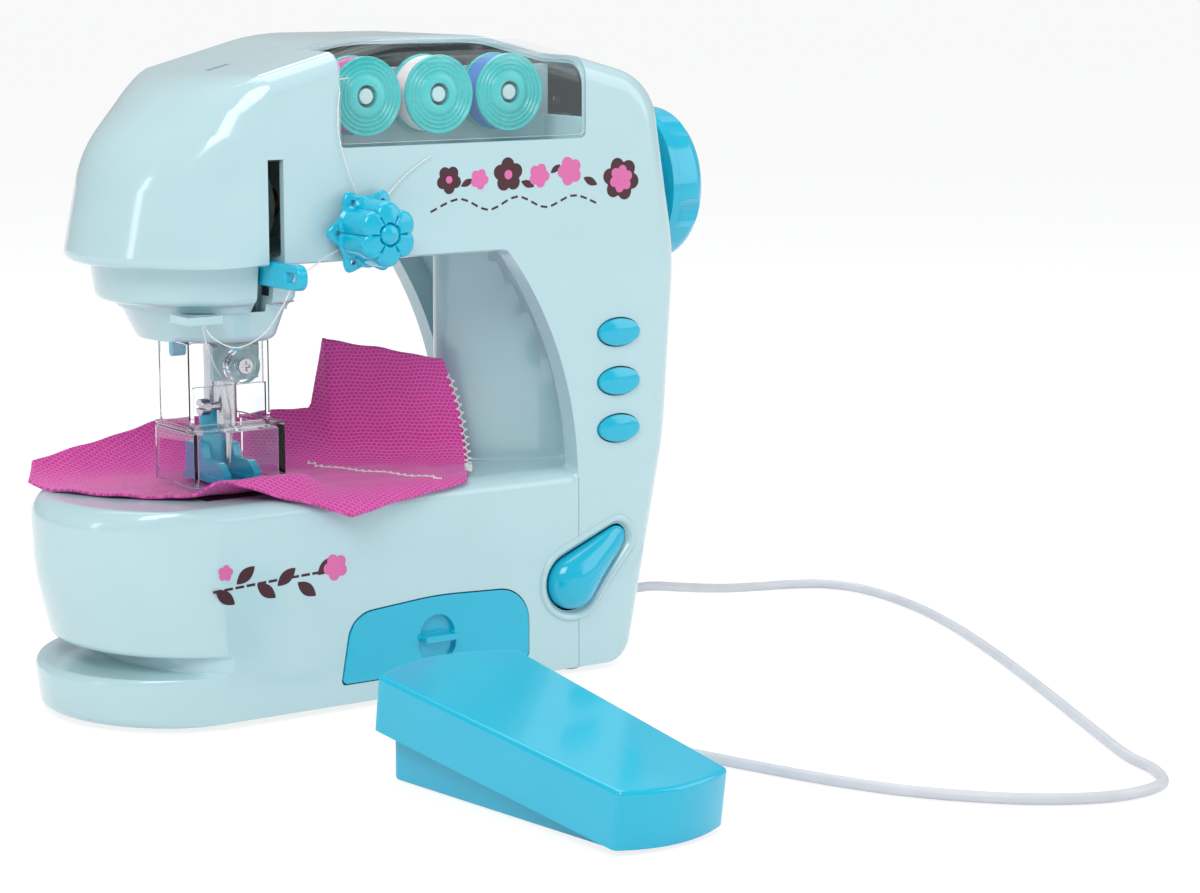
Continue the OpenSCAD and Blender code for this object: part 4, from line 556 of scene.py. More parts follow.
def halfShell(name, t, material):  # front half: outer and inner skin, rim between them at mid depth, two flat caps
    arc = edge * (1 - np.sin(np.linspace(0, np.pi / 2, 15)))
    flank = half - casing["plate"]
    outerY = np.unique(np.concatenate([np.linspace(0, flank - 0.2, 18), [flank], half - arc]))
    innerY = np.unique(np.concatenate([np.linspace(0, half - t - edge, 12), half - t - arc[::2]]))
    outer, inner = casingRings(-outerY, 0.0), casingRings(-innerY, t)
    n, m, k = outer.shape[1], len(outer), len(inner)
    faces = ringFaces(m, n, flip=True)
    faces += [[v + m * n for v in f] for f in ringFaces(k, n)]
    i = np.arange(n)
    j = (i + 1) % n
    faces += np.stack([i, j, m * n + j, m * n + i], -1).tolist()
    faces.append([(m - 1) * n + v for v in range(n)][::-1])
    faces.append([m * n + (k - 1) * n + v for v in range(n)])
    shell = keep(name, np.concatenate([outer.reshape(-1, 3), inner.reshape(-1, 3)]), faces, material)
    outwards(shell)
    return shell


window = {"x0": -23.7, "x1": 69, "z": 180, "top": 230, "y": frontY + 26.5, "gap": 0.4, "hingeZ": 182.7, "lidT": 1.6}
buttons = {"x": 82, "z": (114.9, 98.4, 82.4), "w": 17.2, "h": 10, "gap": 0.4, "proud": 1.3, "crown": 0.7,
           "names": ("top", "middle", "bottom")}
switch = {"at": (63.5, 31.7), "r": 9.5, "tip": 4, "length": 22.5, "tilt": 37, "gap": 0.5, "rim": 3.2, "dish": 1.0,
          "crown": 6.4, "points": 128}
drawer = {"x0": -26, "x1": 46, "z0": 8.5, "z1": 33.5}
openings = {"head": (-80, -38, 32.5, 8), "plate": (-64, -30, -28, 12), "shaft": (0, 160, 5), "shaftX": (66, 126),
            "stud": (-16.5, 154, 2.6), "jack": (-8, 17, 4.5), "jackX": (76, 118), "topSlot": (-49, -41, -6.5, -3),
            "topSlotZ": (188, 216), "leverSlot": (-49.2, -43.8, 129, 177.3), "leverSlotY": -26.5,
            "seamX": (65.8, 66.1), "seamZ": ((-1, 18.5), (47, 67)), "seamDeep": 0.3, "screwR": 3, "screwY": 23.8,
            "screws": ((6, 151.5), (78, 191), (-56, 13), (67.5, 14), (66, 60)), "battery": (5.5, 59.6, 8.5, 38.7),
            "batteryZ": (0, 5.1)}


def roundedOutline(corners, m=8):  # outline through (x, z, radius) corners, each rounded by an arc
    p = np.array([c[:2] for c in corners], float)
    out = []
    for i, (x, z, r) in enumerate(corners):
        a, b, c = p[i - 1], p[i], p[(i + 1) % len(p)]
        u, v = unit(b - a), unit(c - b)
        hand, by = np.sign(u[0] * v[1] - u[1] * v[0]), math.acos(max(-1, min(1, float(u @ v))))
        back = min(r * math.tan(by / 2), 0.48 * min(np.linalg.norm(b - a), np.linalg.norm(c - b)))
        spoke = hand * back / math.tan(by / 2) * leftOf(u)
        out.append(b - u * back + spoke + swing(-spoke, np.linspace(0, hand * by, m)))
    return np.vstack(out)


def windowOutline(gap, z, r):  # opening over the spools drawn in by gap, from height z to above the crest
    x0, x1, top = window["x0"] + gap, window["x1"] - gap, window["top"]
    return roundedOutline([(x0, z, r), (x1, z, r), (x1, top, 1), (x0, top, 1)])


def drawerOutline():
    x0, x1, z0, z1 = (drawer[k] for k in ("x0", "x1", "z0", "z1"))
    return roundedOutline([(x0, z0, 1.5), (x1, z0, 1.5), (x1, z1 - 1, 15), (10, z1 + 0.6, 120),
                           (x0 + 4, z1 - 2, 10)], 14)


def switchOutline(g):  # teardrop drawn in by g: fat arc, hollow on the lower side and slim arc, smoothed
    fat, slim = (spokeAt(np.radians(np.linspace(*run))) for run in ((75, 275, 40), (-75, 80, 24)))
    p = np.vstack([(switch["r"] - g) * fat, [[switch["r"], -switch["r"] * 0.72 + g]],
                   [switch["length"], 0] + (switch["tip"] - g) * slim])
    return evenOutline(swing(p, math.radians(switch["tilt"])) + switch["at"], 0.7, 1.1, switch["points"])


def headOutline(x0, x1, hy, r):  # plan of the head's opening: half ellipse on the left, rounded corners on the right
    middle = casing["noseC"]
    nose = [middle, 0] + np.array([middle - x0, hy]) * spokeAt(np.radians(np.linspace(90, 270, 33)))
    low = [x1 - r, r - hy] + r * spokeAt(np.radians(np.linspace(-90, 0, 7)))
    return np.vstack([nose, low, low[::-1] * [1, -1]])


def sharedCutters():  # openings of both halves: sewing head, needle plate and shaft
    return [prismZ(headOutline(*openings["head"]), armZ - 1, armZ + wall + 2),
            prismZ(boxOutline(*openings["plate"]), bedZ - wall - 1, bedZ + 1),
            prismX(circleOf(*openings["shaft"]), *openings["shaftX"])]


frontShell = halfShell("front_shell", wall, casingPlastic)
outside, deep = frontY - 1, frontY + wall + 1
cutWith(frontShell, sharedCutters() + [
    prismY(windowOutline(0, window["z"], 2), outside, window["y"]),
    *[prismY(ovalOf(buttons["x"], z, buttons["w"], buttons["h"]), outside, deep + 2.2) for z in buttons["z"]],
    prismY(switchOutline(-switch["gap"]), outside, deep), prismY(drawerOutline(), outside, deep),
    prismY(circleOf(*openings["stud"]), outside, deep), prismX(circleOf(*openings["jack"]), *openings["jackX"]),
    prismZ(boxOutline(*openings["topSlot"]), *openings["topSlotZ"])])
cutWith(frontShell, [prismY(boxOutline(*openings["leverSlot"]), outside, openings["leverSlotY"]),
                     prismY(switchOutline(-switch["rim"] * 1.2), frontY - 0.2 * switch["dish"], frontY + switch["dish"],
                            switchOutline(-switch["gap"]))])
cutWith(frontShell, [prismY(boxOutline(*openings["seamX"], *z), outside, frontY + openings["seamDeep"])
                     for z in openings["seamZ"]])
finishLook(frontShell, 30, 0.35)
ride(frontShell, "machine", "casing", "front_casing")
rearShell = halfShell("rear_shell", wall, casingPlastic)
rearShell.data.transform(Matrix.Diagonal((1, -1, 1, 1)))
outwards(rearShell)
cutWith(rearShell, sharedCutters() + [prismZ(boxOutline(*openings["battery"]), *openings["batteryZ"])] + [
    prismY(circleOf(x, z, openings["screwR"]), openings["screwY"], half + 1) for x, z in openings["screws"]])
finishLook(rearShell, 30, 0.35)
ride(rearShell, "machine", "casing", "rear_casing")
lidSkin = halfShell("lid_skin", window["lidT"], lidClear)
cutWith(lidSkin, [prismY(windowOutline(window["gap"], window["hingeZ"] - window["lidT"], 1.5), outside,
                         window["y"] - window["gap"])], "INTERSECT", lidEdgeHighlight)
finishLook(lidSkin, 30, 0.25)
ride(lidSkin, "lid", "clear", "spool_lid")
print("casing cut,", len(frontShell.data.polygons), "faces in front")


# Controls on the front

for name, z in zip(buttons["names"], buttons["z"]):  # oval cap: straight side, rounded rim and a shallow crown
    w, h = (buttons[k] - 2 * buttons["gap"] for k in ("w", "h"))
    cap = evenOutline(ovalOf(buttons["x"], z, w, h), 0.6)
    p, c = buttons["proud"], buttons["crown"]
    steps = [(0, -2.2, 1), (0, p - 0.5, 1), (0.15, p - 0.15, 1), (0.5, p, 1),
             *[(0.5, p + c * (1 - s * s), s) for s in np.linspace(0.92, 0.04, 10)]]
    button = panelPiece("button_" + name + "_cap", cap, steps, bluePlastic, centre=(buttons["x"], z))
    ride(finishLook(button, 40), name + "_button", "blue", "button_" + name)

drop = switchOutline(0.15)  # teardrop dome, high over the fat end and low at the slim end
tipward = spokeAt(math.radians(switch["tilt"]))
topAt = switch["at"] + 2.5 * tipward
rings = [onFront(drop, -5.0), onFront(drop, -0.6)]
for s in np.linspace(1, 0.03, 26):
    spot = topAt + (drop - topAt) * s
    far = np.clip((spot - switch["at"]) @ tipward / switch["length"], 0, 1)
    swell = switch["crown"] * np.sqrt(np.maximum(0, 1 - s ** 2.2))
    rings.append(onFront(spot, -0.6 + swell * (1 - 0.55 * far ** 1.5)))
dome = ringPiece("switch_dome", np.array(rings), bluePlastic, flip=True)
ride(finishLook(dome, 50), "switch", "blue", "power_switch")
lip = [(-3.7, -0.7), (-3.7, 0.2), (-3.3, 0.8), (-2.5, 1.0), (-1.6, 0.5), (-0.8, -0.7), (-0.7, -1.8), (-3.7, -0.7)]
rings = np.array([onFront(switchOutline(g), h) for g, h in lip])
surround = outwards(ringPiece("switch_surround", rings, casingPlastic, False, False), weld=True)
ride(finishLook(surround, 50), "machine", "casing")

knob = {"at": (-16.5, 154), "flangeY": -46.3, "flangeT": 2.5, "length": 13.5, "r": 10.35, "flangeR": 14.3, "petals": 6}
around = turns(240)


def knobPoint(r, y):  # ring of radius r, which may vary round the axis, at depth y
    return atDepth(knob["at"] + np.reshape(r, (-1, 1)) * spokeAt(around), y)


lobe = np.cos(knob["petals"] * around)
flangeR = knob["flangeR"] * (0.865 + 0.115 * lobe + 0.02 * np.cos(2 * knob["petals"] * around))
wave = 0.7 * (lobe - 1) * -0.5
y0 = knob["flangeY"]
rings = [knobPoint(2.6, y0), knobPoint(6.0, y0), knobPoint(flangeR - 1.1, y0 - 0.2),
         knobPoint(flangeR - 0.3, y0 - 0.6 - wave * 0.4),
         knobPoint(flangeR, y0 - 1.25 - wave), knobPoint(flangeR - 0.35, y0 - 1.95 - wave),
         knobPoint(flangeR - 1.2, y0 - 2.4 - wave * 0.8)]
petal = np.abs(np.cos(knob["petals"] / 2 * (around + np.pi / 6)))
gripR = knob["r"] * (0.8 + 0.2 * petal ** 0.6)
crease = np.exp(-(petal / 0.16) ** 2)
front = y0 - knob["flangeT"] - knob["length"]
rings += [knobPoint(gripR + 1.0, y0 - 2.5), knobPoint(gripR + 0.1, y0 - 3.4), knobPoint(gripR, front + 5.5),
          knobPoint(gripR - 0.1, front + 2.2)]
for a in np.linspace(0.15, 1, 7) * np.pi / 2:  # rounded shoulder
    rings.append(knobPoint(gripR - 0.1 - 2.1 * (1 - np.cos(a)), front + 2.2 - 2.1 * np.sin(a)))
for s in np.linspace(0.95, 0.5, 12):  # petals with a crease between them
    dent = 0.75 * crease * min(1.0, s * 1.4) - 0.35 * np.sin(np.pi * s)
    rings.append(knobPoint((gripR - 2.2) * s, front + 0.1 + dent))
rings.append(knobPoint(3.4, front + 0.8))
rings += [knobPoint(3.2 * np.cos(a), front + 0.2 - 1.4 * np.sin(a)) for a in np.linspace(0, 1.5, 8)]
knobSkin = ringPiece("knob_flower", np.array(rings), bluePlastic)
outwards(knobSkin)
holes = knob["at"] + (knob["flangeR"] - 3.6) * spokeAt(np.arange(6) * np.pi / 3)
cutWith(knobSkin, [prismY(circleOf(x, z, 0.9, 16), y0 - 6, y0 + 1) for x, z in holes])
ride(finishLook(knobSkin, 38, weighted=False), "knob", "blue", "tension_knob")
print("controls made")


# Spools: turned profiles with ridges on the flange, and wound thread

spools = {"x": (-5.8, 21.2, 48.2), "z": 195, "y0": -31.0, "length": 11, "r": 12.65, "hub": 5.4, "bore": 3.6,
          "ridges": 4, "threadR": 12.25, "pitch": 0.42, "names": ("left", "middle", "right"),
          "yarns": (pinkYarn, whiteYarn, blueYarn),
          "slots": ("thread_pink", "thread_white", "thread_blue")}


def turnedPiece(name, profile, x, z, material, n=96):  # profile of (radius, y) points turned about an axis along y
    a, pts = turns(n), np.array(profile)
    y = np.broadcast_to(pts[:, 1:], (len(pts), n))
    rings = np.stack([x + pts[:, :1] * np.cos(a), y, z + pts[:, :1] * np.sin(a)], -1)
    return outwards(ringPiece(name, rings, material, capFirst=False, capLast=False), weld=True)


bore, hub, rim, y0 = (spools[k] for k in ("bore", "hub", "r", "y0"))
y1 = y0 + spools["length"]
for x, name, yarn, slot in zip(spools["x"], spools["names"], spools["yarns"], spools["slots"]):
    r = np.linspace(bore + 3.0, rim - 0.5, 60)
    ridge = y0 + 0.28 * (1 - np.cos(2 * np.pi * (r - r[0]) / (r[-1] - r[0]) * spools["ridges"])) + 0.25
    profile = [(bore, y1), (bore, y0 + 0.1), (bore + 0.4, y0), (bore + 2.6, y0), (bore + 2.9, y0 + 0.2), *zip(r, ridge),
               (rim - 0.2, y0), (rim, y0 + 0.25), (rim, y0 + 1.35), (rim - 0.2, y0 + 1.6), (hub, y0 + 1.6),
               (hub, y1 - 1.6), (rim - 0.2, y1 - 1.6), (rim, y1 - 1.35), (rim, y1 - 0.25), (rim - 0.2, y1), (bore, y1)]
    spool = turnedPiece("spool_" + name + "_turned", profile, x, spools["z"], spoolPlastic)
    ride(finishLook(spool, 40, weighted=False), name + "_spool", "turquoise", "spool_" + name)
    y = np.linspace(y0 + 1.62, y1 - 1.62, 120)
    sag = 0.25 * np.abs(2 * (y - y.mean()) / (y[-1] - y[0])) ** 6
    wound = spools["threadR"] - 0.16 * np.abs(np.cos(np.pi * (y - y[0]) / spools["pitch"])) - sag
    profile = [(hub, y[0]), *zip(wound, y), (hub, y[-1]), (hub, y[0])]
    winding = turnedPiece("winding_" + name, profile, x, spools["z"], yarn)
    ride(finishLook(winding, 60, weighted=False), name + "_spool", slot, "thread_" + name)
print("spools made")


# Pedal: two shells with soft corners

pedal = {"near": 39.5, "far": 52, "length": 102, "height": 17, "slope": 8, "wall": 2, "bowNear": 4.6, "bowFar": 7,
         "lift": 1.7, "round": 1.5, "baseW": 32, "spread": 4, "baseH": 12,
         "baseV": (2, 100)}


def sloped(flat, height):  # treadle's plan at a height, tipped by its slope about the near edge
    w = math.radians(pedal["slope"])
    h = np.broadcast_to(height, flat[:, 0].shape)
    return onPedal(np.stack([flat[:, 0], flat[:, 1] * math.cos(w) - h * math.sin(w),
                             pedal["lift"] + flat[:, 1] * math.sin(w) + h * math.cos(w)], -1))


k = np.linspace(-1, 1, 41)
plan = np.vstack([np.stack([pedal["near"] / 2 * k, -pedal["bowNear"] * (1 - k * k)], -1),
                  np.stack([-pedal["far"] / 2 * k, pedal["length"] + pedal["bowFar"] * (1 - k * k)], -1)])
treadlePlan = evenOutline(plan, 0.7, 0.8)
h, r, t = pedal["height"], pedal["round"], pedal["wall"]
steps = [(t + 1.5, h - t, 1), (t, h - t - 1.5, 1), (t, 0, 1), (0, 0, 1), (0, h - r, 1)]
steps += [(r * (1 - math.cos(a)), h - r + r * math.sin(a), 1) for a in np.linspace(0.15, 1, 9) * np.pi / 2]
treadle = panelPiece("treadle_cover", treadlePlan, steps, bluePlastic, place=sloped)
outwards(treadle)
cutWith(treadle, [ringPiece("cutter", np.array([sloped(boxOutline(-7, 7, 92, 122), z) for z in (-1, 9)]), bluePlastic)])
ride(finishLook(treadle, 40), "treadle", "blue", "pedal_top")
a, b, (v0, v1) = pedal["baseW"] / 2, pedal["baseW"] / 2 + pedal["spread"], pedal["baseV"]
trayPlan = evenOutline(np.array([[-a, v0], [a, v0], [b, v1], [-b, v1]], float), 0.9, 1.2)
steps = [(t + 1, t, 1), (t, t + 1, 1), (t, pedal["baseH"], 1), (0, pedal["baseH"], 1), (0, 1.2, 1), (0.35, 0.35, 1),
         (1.2, 0, 1)]
tray = panelPiece("pedal_tray", trayPlan, steps, bluePlastic,
                  place=lambda flat, z: onPedal(np.column_stack([flat, np.broadcast_to(z, len(flat))])))
outwards(tray)
ride(finishLook(tray, 40), "machine", "blue", "pedal_base")
print("pedal made")


# Carried-over nodes with rounded edges

for node, bevel in {"take_up_lever": 0.5, "presser_foot": 0.4, "presser_lifter": 0.4, "handwheel": 0.6,
                    "needle_guard": 0.35, "spool_tray": 0.3, "rubber_feet": 0.3, "battery_door": 0.3, "needle_bar": 0.3,
                    "needle_clamp_screw": 0.2, "fixing_screws": 0.12, "needle_plate": 0.2, "presser_bar": 0.2}.items():
    dress(node, None, bevel)
dress("head_cup", None, 0.4, rims={"z": (131.5, 119), "centre": (-58, 0), "reach": 17, "width": 2.3})
for node, joint, travel, top in (("presser_spring", "presser_lift", 6.0, 1), ("pedal_spring", "pedal_press", 7.5, 0)):
    low, high = (np.array(c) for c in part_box(node))
    foot = (low + high) / 2
    foot[2] = high[2] if top else low[2]
    coil = dress(node, None, 0.0, 60)
    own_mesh(coil)
pull = {"x": 10, "z": 21, "r": 6.4, "depth": 1.7}
hollow = [pull["x"], pull["z"]] + pull["r"] * spokeAt(np.linspace(0, np.pi, 33))
dress("drawer", None, 0.4, cutters=[prismY(hollow, frontY - 3, frontY - 0.4 + pull["depth"])])
print("nodes dressed")


# Cloth sample: flat under the foot, turned up behind the guard, standing before the pillar

cloth = {"thick": 0.9, "mid": 70.85, "turn": 56, "lean": 9, "ripple": 0.32, "alongRange": (-43, 97), "cells": (150, 90),
         "frontEdge": [(-43, -24), (-8, -57), (32, -62), (68, -54), (97, -38)],
         "backEdge": [(-43, 37), (4, 44), (9, 20), (26, 18), (60, 8), (97, -28)],
         "turnUp": [(-43, -3), (3, -3), (12, -11), (30, -12), (60, -20), (97, -46)],
         "turnR": [(3, 9), (12, 22)], "turnMax": [(3, 87), (12, 70)], "needleAt": (-47, -10), "hole": 1.6, "calm": 30,
         "droopY": -38, "droop": 0.035, "rollY": -33.5, "rollWide": 5.5, "rollHigh": 5.6, "rollX": (-92, -22),
         "rollEase": 14}


def fromNeedle(x, y):  # distance in plan from the needle
    return np.hypot(x - cloth["needleAt"][0], y - cloth["needleAt"][1])


def edgeAt(name, k):
    p = np.array(cloth[name], float)
    return np.interp(k, p[:, 0], p[:, 1])


def smooth01(v):
    s = np.clip(v, 0, 1)
    return s * s * (3 - 2 * s)


def clothAt(k, b):  # place along k and across b on the cut cloth to space: bend of radius r past the turn-up line
    q = (k - cloth["alongRange"][0]) / (cloth["alongRange"][1] - cloth["alongRange"][0])
    p = np.clip((b - edgeAt("frontEdge", k)) / (edgeAt("backEdge", k) - edgeAt("frontEdge", k)), 0, 1)
    a = k + cloth["lean"] * p ** 3 * (1 - np.clip(q, 0, 1)) ** 4
    b0, r = edgeAt("turnUp", k), edgeAt("turnR", k)
    by = np.minimum(np.radians(edgeAt("turnMax", k)), np.maximum(0, b - b0) / r)
    over = np.maximum(0, b - b0 - r * by)
    run = np.where(b < b0, b, b0 + r * np.sin(by) + over * np.cos(by))
    rise = r * (1 - np.cos(by)) + over * np.sin(by)
    w = math.radians(cloth["turn"])
    x, y = -a * math.sin(w) + run * math.cos(w), a * math.cos(w) + run * math.sin(w)
    (left, right), ease = cloth["rollX"], cloth["rollEase"]
    roll = cloth["rollHigh"] * np.exp(-((y - cloth["rollY"]) / cloth["rollWide"]) ** 2)
    lift = roll * smooth01((x - left) / ease) * smooth01((right - x) / ease)
    lift = lift - cloth["droop"] * np.maximum(0, cloth["droopY"] - y) ** 2
    waves = 1 + np.sin(0.31 * k + 0.17 * b) * np.cos(0.26 * b - 0.13 * k)
    ripple = cloth["ripple"] * waves * smooth01(fromNeedle(x, y) / cloth["calm"])
    return np.stack([x, y, cloth["mid"] + rise + lift + ripple], -1)


def clothGrid(nu, nv):  # even grid over the cut cloth
    q, p = np.meshgrid(np.linspace(0, 1, nu), np.linspace(0, 1, nv), indexing="ij")
    k = cloth["alongRange"][0] + (cloth["alongRange"][1] - cloth["alongRange"][0]) * q
    b = edgeAt("frontEdge", k) + (edgeAt("backEdge", k) - edgeAt("frontEdge", k)) * p
    return clothAt(k, b), k, b


def nonwoven(name, colour):  # pressed dimples in rows, fibres between them and a soft sheen
    made, tree, main = shader(name)
    uv = added(tree, "UVMap", {})
    uv.uv_map = "cutCloth"
    rows = added(tree, "TexBrick", {"Scale": 1.0, "Mortar Size": 0.3, "Mortar Smooth": 0.8, "Brick Width": 1.7,
                                    "Row Height": 1.25, "Color1": (0, 0, 0, 1), "Color2": (0, 0, 0, 1),
                                    "Mortar": (1, 1, 1, 1)})
    fibre = added(tree, "TexNoise", {"Scale": 5.0, "Detail": 4.0})
    blend = added(tree, "Mix", {})
    blend.data_type = "RGBA"
    setInputs(blend, {"Factor": 0.22})
    tree.links.new(uv.outputs["UV"], rows.inputs["Vector"])
    tree.links.new(uv.outputs["UV"], fibre.inputs["Vector"])
    tree.links.new(rows.outputs["Color"], blend.inputs["A"])
    tree.links.new(fibre.outputs["Fac"], blend.inputs["B"])
    # base colour darker in the pressed dimples and paler on the raised lines between them, following the relief:
    # painted shade in the hollows, over the fibres' own tone
    colourBy(tree, blend.outputs["Result"], colour, 0.62, 1.12, 0.1, 0.8)
    bumpBy(tree, blend.outputs["Result"], 0.55, 0.35)
    setInputs(main, {"Roughness": 0.6, "Sheen Weight": 0.25})
    return made


pinkCloth = nonwoven("pinkCloth", tint(234, 80, 178))
nu, nv = cloth["cells"]
grid, gridK, gridB = clothGrid(nu, nv)
hole = fromNeedle(grid[..., 0], grid[..., 1]) < cloth["hole"]
i, j = np.meshgrid(np.arange(nu - 1), np.arange(nv - 1), indexing="ij")
quads = np.stack([i * nv + j, i * nv + j + 1, (i + 1) * nv + j + 1, (i + 1) * nv + j], -1)
quads = quads[~(hole[:-1, :-1] | hole[1:, 1:] | hole[:-1, 1:] | hole[1:, :-1])].reshape(-1, 4)
sheet = keep("cloth_sheet", grid.reshape(-1, 3), quads.tolist(), pinkCloth)
layer = sheet.data.uv_layers.new(name="cutCloth")
corners = np.zeros(len(sheet.data.loops), dtype=np.int64)
sheet.data.loops.foreach_get("vertex_index", corners)
layer.data.foreach_set("uv", np.stack([gridK.ravel()[corners], gridB.ravel()[corners]], -1).astype(np.float32).ravel())
thick = sheet.modifiers.new("thickness", "SOLIDIFY")
thick.thickness, thick.offset = cloth["thick"] * mm, 0.0
finishLook(sheet, 180, weighted=False)
ride(sheet, "machine", "cloth", "sample_cloth")

stitches = {"pitch": 2.7, "wide": 1.1, "thread": 0.24, "rows": [((10, -2), (-34, -27)), ((-43.2, -14), (-43.2, 32))]}
for n, (start, end) in enumerate(stitches["rows"]):  # chain of loops lying on the cloth along a straight row of the cut
    start, end = np.array(start, float), np.array(end, float)
    reach = np.linalg.norm(end - start)
    u = unit(end - start)
    v = leftOf(u)
    s = np.linspace(0, 1, int(reach / stitches["pitch"]) * 14)
    phase = 2 * np.pi * s * reach / stitches["pitch"]
    along = s * reach + 0.9 * np.sin(2 * phase) * stitches["pitch"] / 4
    flat = start + np.outer(along, u) + np.outer(stitches["wide"] * np.sin(phase), v)
    path = clothAt(flat[:, 0], flat[:, 1])
    h = 0.05
    lift = unit(np.cross(clothAt(flat[:, 0] + h, flat[:, 1]) - path, clothAt(flat[:, 0], flat[:, 1] + h) - path))
    lift *= np.sign(lift[:, 2:3] * 2 - 0.3 * lift[:, 1:2] - 0.6 * lift[:, 0:1])
    path = path + lift * (cloth["thick"] / 2 + stitches["thread"] + 0.12 * np.cos(phase)[:, None])
    row = tube("stitch_row_" + str(n + 1), path, stitches["thread"], 6, whiteYarn)
    ride(row, "machine", "thread_white")


# Top thread, from the left spool by the knob, the lever and the guide to the needle

strands = {"diameter": 0.4, "paths": {
    "strand_spool": [(-13, -31.6, 201), (-20.5, -36.5, 200.6), (-23.5, -40.8, 199.8), (-23.6, -44.6, 198.4),
                     (-24.5, -45.0, 192), (-24.2, -45.1, 183), (-21, -45.3, 172), (-17.6, -45.5, 163),
                     (-15.6, -45.5, 158)],
    "strand_lever": [(9, -44.9, 176.5), (0, -45.0, 171), (-8, -45.4, 164), (-12.6, -45.5, 157.8), (-15.4, -45.5, 157.9),
                     (-19.2, -45.5, 156.6), (-21.6, -45.6, 151), (-26, -45.7, 148.3), (-31, -46.6, 146.4),
                     (-38, -51, 144.2), (-46.5, -56, 142.2)],
    "strand_guide": [(-66, -31.5, 127.3), (-63.5, -33.2, 122.4), (-58, -38.5, 119.4), (-52.5, -46, 124),
                     (-49, -52.5, 133.4), (-46.5, -55.8, 142.0)],
    "strand_needle": [(-66, -31.2, 126.2), (-63, -28.5, 119), (-57, -21.5, 112), (-50.5, -16, 104), (-47.4, -14, 96),
                      (-47.2, -13.7, 91), (-47.1, -12.2, 85), (-47.1, -11.1, 78.5)]}}
for name, points in strands["paths"].items():
    path = curveThrough(points, 1.0)
    strand = tube(name, path, strands["diameter"] / 2, 8, whiteYarn)
    if name == "strand_spool":
        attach(strand, "machine")
    elif name == "strand_needle":
        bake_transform(strand)
    else:
        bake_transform(strand)
print("thread laid")


# Printed trim on the front: sprigs, blossoms and a running stitch, flat pieces just proud of the face

trim = {"proud": 0.06, "over": 0.1, "top": 0.14,
        "stitch": [(9, 158.5), (20, 162.2), (31, 158.2), (42, 162), (53, 158), (64, 161.4), (74, 158)],
        "blossoms": [(16, 168.5, 4.6), (38.5, 169.2, 5.6, 5, 0.9), (83, 166, 7.2, 6, 0.2)],
        "petals": [(27.5, 168.2, 3.4, 5, 1.4), (50.5, 168.4, 4.0, 5, 0.1), (62.5, 169.4, 4.8, 5, 0.6),
                   (83, 166, 4.6, 6, 0.72)],
        "leaves": [(20.5, 166.2, 5, 2.2, 25), (43.5, 166.8, 5.4, 2.4, -20), (55, 169, 4.6, 2, 35),
                   (68, 167, 6, 2.6, -25)],
        "eyes": [(16, 168.5, 1.2), (38.5, 169.2, 1.5), (83, 166, 1.6)],
        "sprig": [(-70 + 7.2 * i, 45 + 1.2 * math.sin(1.4 * i), 8.2, 4.0, 38 if i % 2 else -38) for i in range(6)],
        "buds": [(-27.5, 47.6, 4.4, 5, 0.5), (-66.5, 50.2, 2.6, 5, 1.1)],
        "stem": [(-71, 44.6), (-50, 45.8), (-31, 46.6)]}


def inked(name, outlines, material, proud=trim["proud"]):  # flat outlines as one thin printed piece
    verts, faces = [], []
    for o in outlines:
        n, base = len(o), len(verts)
        verts += onFront(o, proud).tolist() + onFront(o, -0.02).tolist()
        faces += [list(range(base, base + n)), list(range(base + 2 * n - 1, base + n - 1, -1))]
        faces += [[base + i, base + n + i, base + n + (i + 1) % n, base + (i + 1) % n] for i in range(n)]
    piece = keep(name, verts, faces, material)
    outwards(piece)
    return ride(piece, "machine", "casing")


def blossom(x, z, r, petals=5, turnBy=0.3, n=90):  # round petals: radius swings with the angle
    a = turns(n)
    w = r * (0.74 + 0.26 * np.abs(np.cos(petals / 2 * (a + turnBy))) ** 0.8)
    return [x, z] + w[:, None] * spokeAt(a)


def leaf(x, z, length, wide, tilt, n=24):  # two arcs that meet in points
    s = np.linspace(0, 1, n)
    bow = wide / 2 * np.sin(np.pi * s) ** 0.85
    p = np.vstack([np.stack([s * length, -bow], -1), np.stack([s * length, bow], -1)[::-1][1:-1]])
    return swing(p, math.radians(tilt)) + [x, z]


def dashes(line, length, gapLength, wide):  # short strokes along a smooth line
    p = curveThrough(np.column_stack([line, np.zeros(len(line))]), 0.4)[:, :2]
    run = runOf(p)
    out = []
    for s in np.arange(0, run[-1] - length, length + gapLength):
        e = np.array([[np.interp(v, run, p[:, k]) for k in (0, 1)] for v in (s, s + length)])
        m = leftOf(unit(e[1] - e[0])) * wide / 2
        out.append(np.array([e[0] - m, e[1] - m, e[1] + m, e[0] + m]))
    return out


inked("print_stitch", dashes(trim["stitch"], 2.6, 1.5, 0.7), maroonInk)
inked("print_blossoms", [blossom(*b) for b in trim["blossoms"]], maroonInk)
inked("print_petals", [blossom(*b) for b in trim["petals"]], pinkInk, trim["over"])
inked("print_leaves", [leaf(*v) for v in trim["leaves"]], maroonInk)
inked("print_eyes", [circleOf(*e) for e in trim["eyes"]], pinkInk, trim["top"])
inked("print_sprig", [leaf(*v) for v in trim["sprig"]], maroonInk)
inked("print_buds", [blossom(*b) for b in trim["buds"]], pinkInk, trim["over"])
inked("print_stem", dashes(trim["stem"], 3.0, 0.9, 0.8), maroonInk, trim["over"])
print("trim printed")


# Floor, world and lamps

ground = {"reach": 30000, "z": -0.3, "glow": 1.15, "share": 0.72}


def mixInto(tree, share, first, second, output):  # two shaders mixed by share, on to the output node
    mixed = added(tree, "MixShader", {})
    tree.links.new(share, mixed.inputs["Fac"])
    tree.links.new(first.outputs[0], mixed.inputs[1])
    tree.links.new(second.outputs[0], mixed.inputs[2])
    tree.links.new(mixed.outputs[0], tree.nodes[output].inputs["Surface"])


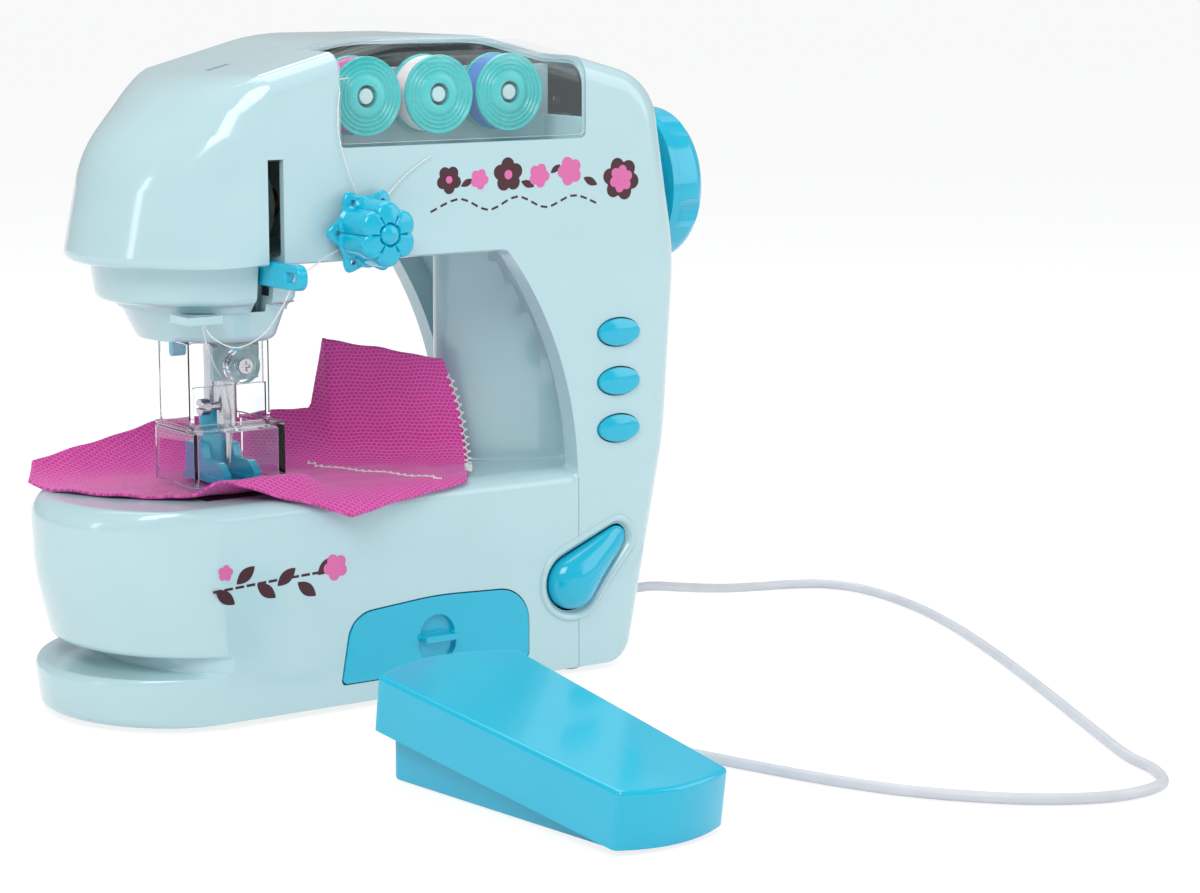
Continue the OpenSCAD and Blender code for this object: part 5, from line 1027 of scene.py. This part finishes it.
paper, tree, main = shader("paleFloor")
setInputs(main, {"Base Color": (0.93, 0.935, 0.94, 1), "Roughness": 0.9, "Specular IOR Level": 0.1})
glow = added(tree, "Emission", {"Color": (1, 1, 1, 1), "Strength": ground["glow"]})
rays = added(tree, "LightPath", {})
seen = rays.outputs["Is Camera Ray"]
for kind in ("Is Glossy Ray", "Is Transmission Ray"):  # any of the three kinds of ray
    either = added(tree, "Math", {})
    either.operation = "MAXIMUM"
    tree.links.new(seen, either.inputs[0])
    tree.links.new(rays.outputs[kind], either.inputs[1])
    seen = either.outputs[0]
part = added(tree, "Math", {1: ground["share"]})
part.operation = "MULTIPLY"
tree.links.new(seen, part.inputs[0])
mixInto(tree, part.outputs[0], main, glow, "Material Output")
reach = ground["reach"]
floor = keep("floor", np.column_stack([boxOutline(-reach, reach, -reach, reach), np.full(4, ground["z"])]),
             [[0, 1, 2, 3]], paper)

world = bpy.data.worlds.new("paleRoom")
scene.world = world
world.use_nodes = True
tree = world.node_tree
sky = setInputs(tree.nodes["Background"], {"Color": (0.95, 0.975, 1.0, 1), "Strength": 0.46})
white = added(tree, "Background", {"Color": (1, 1, 1, 1), "Strength": 1.0})
mixInto(tree, added(tree, "LightPath", {}).outputs["Is Camera Ray"], sky, white, "World Output")

lamps = {"key": {"at": (-0.75, -0.75, 1.05), "size": 0.7, "power": 9.0},
         "fill": {"at": (0.95, -0.8, 0.6), "size": 0.9, "power": 4.6},
         "top": {"at": (0.1, 0.25, 1.3), "size": 1.0, "power": 7.0},
         "leftPanel": {"at": (-1.3, 0.02, 0.42), "size": 0.12, "tall": 0.42, "power": 0.75},
         "backPanel": {"at": (0.5, 0.75, 0.78), "size": 0.45, "tall": 0.2, "power": 1.2}}
target = np.array([0.0, -0.05, 0.1])
for name, lamp in lamps.items():
    data = bpy.data.lights.new(name, "AREA")
    data.shape, data.energy = "RECTANGLE", lamp["power"]
    data.size, data.size_y = lamp["size"], lamp.get("tall", lamp["size"])
    made = bpy.data.objects.new(name, data)
    scene.collection.objects.link(made)
    back = unit(np.array(lamp["at"]) - target)
    across = unit(np.cross([0, 0, 1.0], back))
    made.matrix_world = poseOf(across, np.cross(back, across), back, lamp["at"])
print("stage lit")
